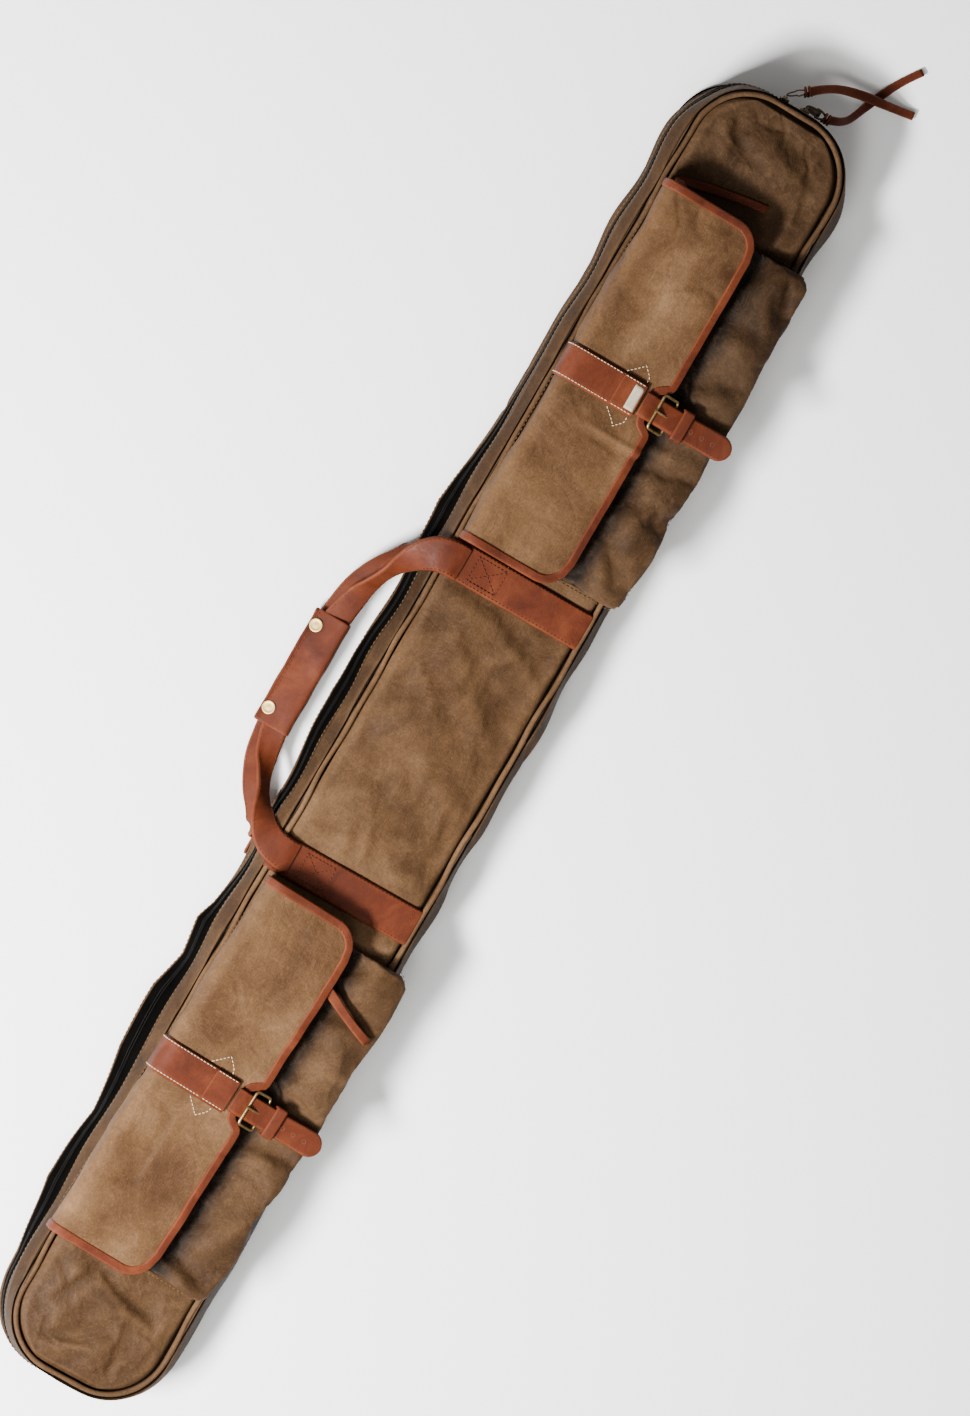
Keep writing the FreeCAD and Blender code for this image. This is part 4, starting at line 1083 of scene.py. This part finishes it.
def make_strap(side):
    """The buckled strap: under the frame, over the heel bar, through the keeper, to its tongue."""
    way = {"upper": [(2, 103.3), (9, 103.1), (16, 101.4), (24, 99.8), (34, 98.6), (46, 97.6), (60, 96.2),
                     (78, 95.6), (91, 96.4), (100, 97.4)],
           "lower": [(2, 103.3), (9, 103.1), (16, 101.4), (24, 99.8), (34, 98.6), (46, 97.8), (62, 96.6),
                     (78, 95.4), (90, 94.8), (99, 94.4)]}[side]
    path = curve_through(np.array([(0, y, z) for y, z in way], float), 110)
    path[:, 0] += 0.5 * np.sin(path[:, 1] / 17) * ease(path[:, 1], 40, 70)
    run = lengths(path)
    left = run[-1] - run
    reach = 12.7
    tip = np.sqrt(np.clip(1 - (np.clip(reach - left, 0, reach) / reach) ** 2, 0.0025, 1))
    width = np.interp(path[:, 1], (8, 20, 40, 100), (1.0, 0.97, 0.97, 1.0))
    verts, faces = sweep(on_pocket(path, side), UP, strap_section(24.6, 2.1, 0.35, 15), widths=tip * width)
    make(f"buckle_strap_{side}_leather", verts, faces, LEATHER, f"flap_{side}",
         (f"buckle_strap_{side}",))
    # punched holes, as short dark sleeves let into the face
    verts, faces = [], []
    for y in (57, 69, 81):
        z = np.interp(y, path[:, 1], path[:, 2])
        rings = [at_level(circle(r, 14), 0) + (0, y, z + h)
                 for r, h in ((2.3, 1.3), (2.0, 1.65), (1.5, 1.5), (1.3, 0.8), (0.2, 0.7))]
        first = len(verts)
        verts += list(np.concatenate(rings))
        faces += shifted(quads(5, 14, around=True), first)
    make(f"strap_holes_{side}", on_pocket(verts, side), faces, SUEDE, f"flap_{side}", ())
    margin = []
    for sign in (-1, 1):
        keep = (path[:, 1] > 44)
        line = path[keep] + (0, 0, 1.25)
        line[:, 0] += sign * np.maximum(tip[keep] * 12.3 - 2.6, 0.0)
        margin.append((on_pocket(line[tip[keep] > 0.35], side), UP))
    sew(f"buckle_strap_{side}_sewing", margin, f"flap_{side}", thread=TAN_THREAD,
        pitch=3.8, thick=0.26, lift=0.05)


def make_keeper(side):
    """The leather loop that holds the tongue; the second one stands a little open."""
    tall = 101.4 if side == "upper" else 102.6
    corners = [(-12.5, 94.9), (0, 94.6), (12.5, 94.9), (14.6, 97), (14.4, tall - 1.8), (11.5, tall - 0.6),
               (0, tall - 0.2), (-11.5, tall - 0.6), (-14.4, tall - 1.8), (-14.6, 97)]
    path = curve_through(np.array([(x, 47, z) for x, z in corners + corners[:1]], float), 70)[:-1]
    middle = np.array([0, 47, 98.0])
    ups = path - middle
    verts, faces = sweep(on_pocket(path, side), turned(ups, side), strap_section(11.4, 1.5, 0.2), closed=True)
    make(f"strap_keeper_{side}_leather", verts, faces, LEATHER, "lid", (f"strap_keeper_{side}",))


def pocket_top(x, y, side):
    """Relief of a pocket's outer face, in millimetres, for local x and y."""
    flat = np.stack([x, y], -1)
    seed = {"upper": 71, "lower": 81}[side]
    rise = 1.2 * wavy(flat, 80, seed) + 0.6 * wavy(flat, 30, seed + 1) - 1.3 * creases(flat, 48, seed + 2)
    pulls = {
        "upper": [((-170, 80), (-120, 88), 8, 2.6), ((-175, 60), (-135, 40), 7, 2.0),
                  ((-60, 84), (-30, 40), 10, 2.2), ((28, 84), (40, 30), 9, -2.4),
                  ((100, 80), (84, 30), 10, 1.8), ((168, 70), (120, 40), 8, 2.4),
                  ((-100, 70), (-92, 30), 9, 1.5)],
        "lower": [((62, 88), (130, 40), 11, 3.2), ((-120, 80), (-100, 30), 10, 2.0),
                  ((-24, 82), (-34, 34), 8, -2.2), ((26, 80), (38, 30), 8, 2.0),
                  ((168, 76), (150, 20), 9, 2.4), ((-170, 60), (-140, 30), 8, 2.0)],
    }[side]
    for start, end, width, height in pulls:
        rise += fold(flat, start, end, width, height)
    for sign in (-1, 1):
        rise -= 3.0 * np.exp(-((x - sign * 21) / 9) ** 2 - ((y - 62) / 22) ** 2)
    return rise


def pocket_held(points):
    """1 where a pocket is sewn down or lies under its flap, 0 where its cloth is free."""
    sewn = 1 - ease(points[:, 2], 67, 74)
    covered = (1 - ease(points[:, 1], 16, 34)) * ease(points[:, 2], 70, 84)
    back = 1 - ease(points[:, 1], -66, -60)
    return np.maximum(np.maximum(sewn, covered), back)


def make_pocket(side):
    """A full pocket: a bellows wall with a pinched fold, a soft brow and a slack outer face."""
    levels = ((5, 66.4), (1.5, 67.5), (0, 70), (1.5, 73), (4.5, 75.5), (5.0, 77), (2.5, 79.5), (0.2, 82.5),
              (0, 85), (1.6, 87.6), (4.6, 89.6), (9, 90.8), (14, 91.3),
              *((inset_by, POCKET_TALL) for inset_by in (*range(19, 75, 5), 78, 80.9)))
    rings = []
    for inset_by, z in levels:
        ring = outline(175 - inset_by, 81 - inset_by, max(15 - inset_by * 0.4, 2), 150, 60, 9)
        ring = at_level(ring, z)
        ring[:, 1] += 9
        rings.append(ring)
    grid = np.array(rings)
    x, y, z = grid[..., 0], grid[..., 1], grid[..., 2]
    relief = pocket_top(x.ravel(), y.ravel(), side).reshape(x.shape)
    loft = ease(z, 80, 91)
    outer = ease(y, 18, 34)
    under = 1 - ease(y, -78, -66)
    full = 1.6 * np.sin(np.clip((y + 72) / 162, 0, 1) * math.pi) - 2.2 * (1 - outer) * ease(y, -70, -50)
    drop = 2.8 * np.exp(-((y + 25) / 9) ** 2) * (1 - ease(np.abs(x), 150, 160))
    drop += 15.0 * np.exp(-((y - 29) / 16) ** 2) * (1 - 0.6 * np.exp(-(x / 16) ** 2))
    z += loft * (np.clip(1.5 * relief, -6.0, 5.0) * (0.2 + 0.8 * outer) + full - drop)
    lean = 5.5 * ease(y, 60, 90) * ease(z, 84, 92)
    z -= lean * 0.35
    wobble = (wavy(grid.reshape(-1, 3), 42, 91) * 1.4).reshape(x.shape)
    walls = 1 - ease(z, 88, 91)
    grid[..., 1] += np.sign(y - 9) * wobble * walls * ease(np.abs(y - 9), 50, 78) * ease(y, -60, 20)
    grid[..., 0] += np.sign(x) * wobble * walls * ease(np.abs(x), 160, 172)
    z[:] = np.minimum(z, np.where(y < 24, 93.2, 96.5))
    rows, columns = x.shape
    grid[..., 2] = np.where(under > 0.5, np.minimum(grid[..., 2], 91.0), grid[..., 2])
    faces = quads(rows, columns, around=True)
    faces += end_caps(rows, columns)
    skin, faces = swell(grid, faces, pocket_held, 1.4, 0.03, 5.0, voxel=4.2)
    piece = make(f"pocket_{side}_cloth", on_pocket(skin, side), faces, SHADED_POCKET_CANVAS, "lid",
                 (f"pocket_{side}",))
    finer = piece.modifiers.new("finer", "SUBSURF")
    finer.levels = finer.render_levels = 1
    # sewn foot of the pocket
    foot = at_level(outline(176.5, 82.5, 14, 150, 60, 9), 66.9) + (0, 9, 0)
    sew(f"pocket_foot_{side}_sewing", [(on_pocket(foot, side), UP)], "lid", "canvas", KHAKI_THREAD,
        pitch=4.6, thick=0.3)

    # the zip under the flap
    x = np.linspace(-155, 155, 120)
    y = np.linspace(-31, -19, 9)
    gx, gy = np.meshgrid(x, y)
    gz = 90.2 + 0.25 * np.sin(gx / 21) + 0.5 * np.exp(-((gy + 25) / 1.6) ** 2)
    tape = np.stack([gx, gy, gz], -1)
    verts, faces, _ = thick_sheet(9, 120, tape, np.broadcast_to(UP, tape.shape), 0.8)
    make(f"pocket_zip_{side}_tape", on_pocket(verts, side), faces, TAPE, "lid",
         (f"pocket_zip_{side}",))
    at = np.arange(-153, 153, 0.75)
    line = np.stack([at, np.full_like(at, -25), np.full_like(at, 91.0)], 1)
    verts, faces = sweep(line, UP, circle(1.3, 6) * (1, 0.5), widths=1 + 0.2 * np.cos(at * math.pi / 0.75))
    make(f"pocket_coil_{side}", on_pocket(verts, side), faces, TEETH, "lid", ())

    # its slider, a shaped block with a bridge
    x0 = -140
    plan = [(-5, 1.6), (-4.2, 2.8), (-2, 3.6), (1.5, 3.9), (4, 3.7), (5, 3.0)]
    ring = np.array(plan + [(a, -b) for a, b in plan[::-1]], float)
    verts = np.concatenate([at_level(ring * s, z)
                            for s, z in ((0.9, 91.2), (1, 91.7), (1, 93.2), (0.86, 93.9))])
    faces = quads(4, len(ring), around=True)
    faces += end_caps(4, len(ring))
    verts = verts + (x0, -25, 0)
    bridge = curve_through(np.array([(x0 - 3.6, -25, 93.3), (x0 - 2.4, -25, 94.4), (x0, -25, 94.7),
                                     (x0 + 2.4, -25, 94.4), (x0 + 3.6, -25, 93.3)], float), 14)
    more, more_faces = sweep(bridge, (0, 1.0, 0), circle(0.75, 8) * (1, 2))
    faces += shifted(more_faces, len(verts))
    verts = np.concatenate([verts, more])
    make(f"pocket_slider_{side}_metal", on_pocket(verts, side), faces, GUNMETAL,
         f"pocket_slider_{side}", (f"pocket_slider_{side}",))


for pocket_side in POCKETS:
    make_pocket(pocket_side)
    fold_link = make_flap(pocket_side)
    make_band(pocket_side, fold_link)
    make_strap(pocket_side)
    make_keeper(pocket_side)


# ---------------------------------------------------------------- handle

def make_handle_bands():
    for side, x in BANDS.items():
        way = [(73, 66.2), (71, 67.3), (50, 67.5), (0, 67.7), (-40, 67.5), (-62, 67.4), (-74, 66.9),
               (-79, 65.6)]
        path = curve_through(np.array([(x, y, z) for y, z in way], float), 120)
        path[:, 2] += 0.3 * np.sin(path[:, 1] / 19) * ease(path[:, 1], -60, -40)
        normal = np.cross((1.0, 0, 0), np.gradient(path, axis=0)) * -1
        verts, faces = sweep(path, normal, strap_section(36, 2.2, 0.25, 17))
        make(f"front_handle_band_{side}_leather", verts, faces, LEATHER, "lid",
             (f"front_handle_band_{side}",))
        rows = []
        for offset in (-15.6, 15.6):
            keep = (path[:, 1] < 68) & (path[:, 1] > -72)
            face = unit(normal[keep])
            rows.append((path[keep] + face * 1.15 + (offset, 0, 0), face))
        # the sewn square and its cross where the strap is taken into the band
        corners = [(-12, -18), (12, -18), (12, -48), (-12, -48), (-12, -18), (12, -48), (12, -18), (-12, -48)]
        line = np.concatenate([np.linspace(p, q, 12) for p, q in zip(corners, corners[1:])])
        line = np.stack([x + line[:, 0], line[:, 1], np.full(len(line), 68.95)], 1)
        rows.append((line, UP))
        ends = np.array([(x - 15, 66, 68.45), (x + 15, 66, 68.45)], float)
        rows.append((np.linspace(ends[0], ends[1], 12), UP))
        sew(f"front_handle_band_{side}_sewing", rows, "lid", thread=TAN_THREAD, pitch=4.0, thick=0.38)
        way = [(73, 1.2), (40, 1.15), (0, 1.15), (-60, 1.2), (-74, 1.6), (-80, 4), (-85, 9)]
        path = curve_through(np.array([(x, y, z) for y, z in way], float), 90)
        normal = np.cross((1.0, 0, 0), np.gradient(path, axis=0))
        verts, faces = sweep(path, normal, strap_section(36, 1.9, 0.1, 17))
        make(f"back_handle_band_{side}_leather", verts, faces, LEATHER, "base",
             (f"back_handle_band_{side}",))
        rows = [(path[8:70] + (offset, 0, -0.85), -UP) for offset in (-15.6, 15.6)]
        sew(f"back_handle_band_{side}_sewing", rows, "base", thread=TAN_THREAD,
            pitch=4.0, thick=0.3, lift=-0.1)


make_handle_bands()

# Each handle strap's way from its band to the grip's middle, for the -X half: place and face.
HANDLE_WAYS = {
    "front": [((-157, -58, 69.4), (0, 0, 1)), ((-157, -70, 71.4), (0, -0.15, 1)),
              ((-154, -83, 70), (0.2, -0.5, 0.9)), ((-146, -93, 63), (0.5, -0.5, 0.75)),
              ((-134, -100, 52), (0.7, -0.1, 0.65)), ((-119, -106, 40), (0.6, 0.5, 0.7)),
              ((-102, -112, 30.5), (0.3, 0.5, 0.9)), ((-80, -118, 23), (0.0, 0.0, 1)),
              ((-40, -124, 20), (0, -0.42, 0.9)), ((0, -124, 19.8), (0, -0.42, 0.9))],
    "back": [((-153, -85, 9), (0, -1, -0.4)), ((-153, -90.5, 15), (0, -1, 0)),
             ((-151.5, -94, 22), (-0.2, -0.95, 0.2)), ((-147, -98.5, 26), (-0.5, -0.7, 0.4)),
             ((-137, -104.5, 27), (-0.6, -0.4, 0.6)), ((-120, -114, 23.5), (-0.4, -0.35, 0.8)),
             ((-96, -121.5, 16.5), (-0.2, -0.45, 0.85)), ((-70, -124, 13), (0, -0.45, 0.9)),
             ((-40, -125.2, 12.6), (0, -0.42, 0.9)), ((0, -125, 12.8), (0, -0.42, 0.9))],
}
HANDLE_WIDTHS = {"front": (0.84, 0.74, 0.62, 0.80, 1.12), "back": (0.84, 0.74, 0.58, 0.42, 0.62)}
HANDLE_SHIFT = -3.5     # the bands are not quite even about the middle
HANDLE_TILT = math.radians(27.4)
GRIP_UP = np.array([0, -math.sin(HANDLE_TILT), math.cos(HANDLE_TILT)])
GRIP_ACROSS = np.array([0, math.cos(HANDLE_TILT), math.sin(HANDLE_TILT)])
GRIP_MIDDLE = np.array([0, -124.0, 16.0])


def make_handle():
    links = {"front": ("lid", "handle_front", (0, -0.096, 0.052), (0, -0.122, 0.024)),
             "back": ("base", "handle_back", (0, -0.089, 0.014), (0, -0.104, 0.030))}
    for side, way in HANDLE_WAYS.items():
        left = np.array([p for p, _ in way], float)
        face = np.array([f for _, f in way], float)
        right = left[-2::-1] * (-1, 1, 1) + (2 * HANDLE_SHIFT, 0, 0) * ease(left[-2::-1, :1] * -1, 0, 120)
        right_face = face[-2::-1] * (-1, 1, 1)
        path = curve_through(np.concatenate([left, right]), 260)
        ups = curve_through(np.concatenate([face, right_face]), 260)
        near = np.abs(path[:, 0])
        width = np.interp(near, (50, 80, 110, 135, 158), HANDLE_WIDTHS[side])
        verts, faces = sweep(path, ups, strap_section(31, 3.0, 0.3, 15), widths=width)
        make(f"handle_strap_{side}", verts, faces, LEATHER, links[side], (f"handle_loop_{side}",))
        ahead = np.gradient(path, axis=0)
        across = unit(np.cross(ahead, ups))
        up = unit(np.cross(across, ahead))
        rows = []
        for sign in (-1, 1):
            line = path + up * 1.6 + across * (sign * (15.5 * width - 2.6))[:, None]
            for stretch in (near > 60) & (path[:, 0] < 0), (near > 60) & (path[:, 0] > 0):
                rows.append((line[stretch], up[stretch]))
        sew(f"handle_strap_{side}_sewing", rows, links[side], thread=TAN_THREAD, pitch=4.0, thick=0.34)

    # the wrapped grip: a soft flattened roll with an overlapping front edge
    count, around = 90, 48
    share = np.linspace(-1, 1, count)
    turn = np.linspace(0, 2 * math.pi, around, endpoint=False)
    verts = []
    for s in share:
        x = s * 58
        end = 1 - 0.05 * ease(abs(s), 0.97, 1)
        wide = 17.9 * end * (1 - 0.012 * math.cos(s * 9))
        thick = 7.2 * end * (1 - 0.03 * math.sin(s * 7 + 1))
        c, v = np.cos(turn), np.sin(turn)
        a = wide * np.sign(c) * np.abs(c) ** 0.45
        b = thick * np.sign(v) * np.abs(v) ** 0.55
        ring = GRIP_MIDDLE + np.array([x, 0, 0]) + a[:, None] * GRIP_ACROSS + b[:, None] * GRIP_UP
        verts.append(ring)
    grid = np.array(verts)
    flat = grid.reshape(-1, 3)
    outward_dir = unit(flat - (GRIP_MIDDLE + flat * (1, 0, 0)))
    flat = flat + outward_dir * (0.22 * wavy(flat, 26, 101) - 0.5 * creases(flat, 30, 102))[:, None]
    faces = quads(count, around, around=True)
    faces += end_caps(count, around)
    grip = make("grip_wrap_leather", flat, faces, LEATHER, "handle_back", ("grip_wrap",))
    # overlapping tab edge with the sewing, and the two snaps on it
    x = np.linspace(-56, 56, 80)
    edge = GRIP_MIDDLE + x[:, None] * (1, 0, 0) + (-15.6 + 0.25 * np.sin(x / 13))[:, None] * GRIP_ACROSS \
        + 6.5 * GRIP_UP
    verts, faces = sweep(edge, GRIP_UP, strap_section(2.4, 1.6, 0.2))
    make("grip_overlap_edge", verts, faces, LEATHER, "handle_back", ())
    sew("grip_sewing", [(edge + GRIP_ACROSS * 3.2 + GRIP_UP * 0.4, GRIP_UP)],
        "handle_back", thread=TAN_THREAD, pitch=4.2, thick=0.32, lift=0.5)
    verts, faces = [], []
    for x in (-43, 43):
        profile = ((6.2, 0.1), (6.4, 0.6), (6.2, 1.1), (5.6, 1.35), (5.0, 1.3), (4.6, 1.15), (2.5, 1.3),
                   (0.15, 1.35))
        middle = GRIP_MIDDLE + (x, 0, 0) - GRIP_ACROSS * 9 + GRIP_UP * 7.3
        turn = np.linspace(0, 2 * math.pi, 32, endpoint=False)
        first = len(verts)
        for radius, height in profile:
            verts += [middle + (radius * math.cos(t), 0, 0) + GRIP_ACROSS * radius * math.sin(t)
                      + GRIP_UP * height for t in turn]
        faces += shifted(quads(len(profile), 32, around=True), first)
    make("grip_snap_caps", verts, faces, BRIGHT, "handle_back", ("grip_snaps",))


make_handle()


# ---------------------------------------------------------------- main zip sliders and pulls

def make_sliders():
    face = -668.6
    for name, y, tip in (("long", -5, (-687, 10)), ("short", 17, (-675.1, 38))):
        # body: two shields joined by a neck, with a bridge that carries the pull
        plan = [(-5, 1.4), (-3.6, 3.4), (-1, 4.4), (2, 4.5), (4.4, 3.8), (5, 2.4)]
        ring = np.array(plan + [(a, -b) for a, b in plan[::-1]], float)
        verts, faces = [], []
        for depth, scale in ((-0.4, 0.9), (-1.2, 1), (-2.6, 1), (-3.4, 0.88)):
            verts += [(face + depth, y + b * scale, 33 + a * scale) for a, b in ring]
        faces += quads(4, len(ring), around=True)
        faces += end_caps(4, len(ring))
        bridge = curve_through(np.array([(face - 3.2, y, 29.6), (face - 4.7, y, 30.6), (face - 5, y, 33),
                                         (face - 4.7, y, 35.4), (face - 3.2, y, 36.4)], float), 16)
        more, more_faces = sweep(bridge, (0, 1.0, 0), circle(0.8, 8) * (1, 1.8))
        faces += shifted(more_faces, len(verts))
        verts += list(more)
        make(f"zip_slider_{name}_metal", verts, faces, GUNMETAL, f"zip_slider_{name}",
             (f"zip_slider_{name}",))

        pin = np.array([face - 6.7, y, 33.0])
        end = np.array([*tip, 32.4])
        way = (end - pin) / np.linalg.norm(end - pin)
        side = np.cross(way, UP)
        length = np.linalg.norm(end - pin)
        half = 2.3 if name == "long" else 3.4
        loop = np.array([(length * 0.5 * (1 - math.cos(t)),
                          half * math.sin(t) * (1.15 if math.cos(t) < 0 else 0.8))
                         for t in np.linspace(0, 2 * math.pi, 48, endpoint=False)])
        path = pin + loop[:, :1] * way + loop[:, 1:] * side
        wire = circle(0.7, 8) if name == "long" else circle(1.0, 8) * (1.1, 0.8)
        verts, faces = sweep(path, UP, wire, closed=True)
        if name == "short":
            # a stamped blade fills the middle of the pull, with the lace's hole left open
            blade = np.array([(length * s, w) for s, w in ((0.1, 1.6), (0.3, 2.7), (0.55, 3.0), (0.7, 2.2))])
            ring = np.concatenate([blade, blade[::-1] * (1, -1)])
            rows = [pin + ring[:, :1] * way + ring[:, 1:] * side + UP * h for h in (-0.55, 0.55)]
            more = np.concatenate(rows)
            more_faces = quads(2, len(ring), around=True)
            more_faces += end_caps(2, len(ring))
            faces += shifted(more_faces, len(verts))
            verts = np.concatenate([verts, more])
        make(f"zip_pull_{name}_metal", verts, faces, GUNMETAL, f"zip_puller_{name}",
             (f"zip_puller_{name}",))

        # the lace's knot round the end of the pull
        turns = np.linspace(0, 4 * math.pi, 60)
        knot = end + way * 1.0 + np.outer(np.cos(turns) * 3.4, side) + np.outer(np.sin(turns) * 2.8, UP) \
            + np.outer((turns / (4 * math.pi) - 0.5) * 7, way)
        verts, faces = sweep(knot, way, strap_section(4.2, 1.7, 0.2))
        make(f"lace_knot_{name}", verts, faces, LEATHER, f"zip_puller_{name}", ())


make_sliders()


# ---------------------------------------------------------------- carried-over metalwork

for carried, finish_of in (("buckle_frame", ANTIQUE), ("buckle_prong", ANTIQUE), ("buckle_chape", LEATHER)):
    for pocket_side in POCKETS:
        mesh = bpy.data.objects[f"{carried}_{pocket_side}"].data
        mesh.materials.clear()
        mesh.materials.append(finish_of)
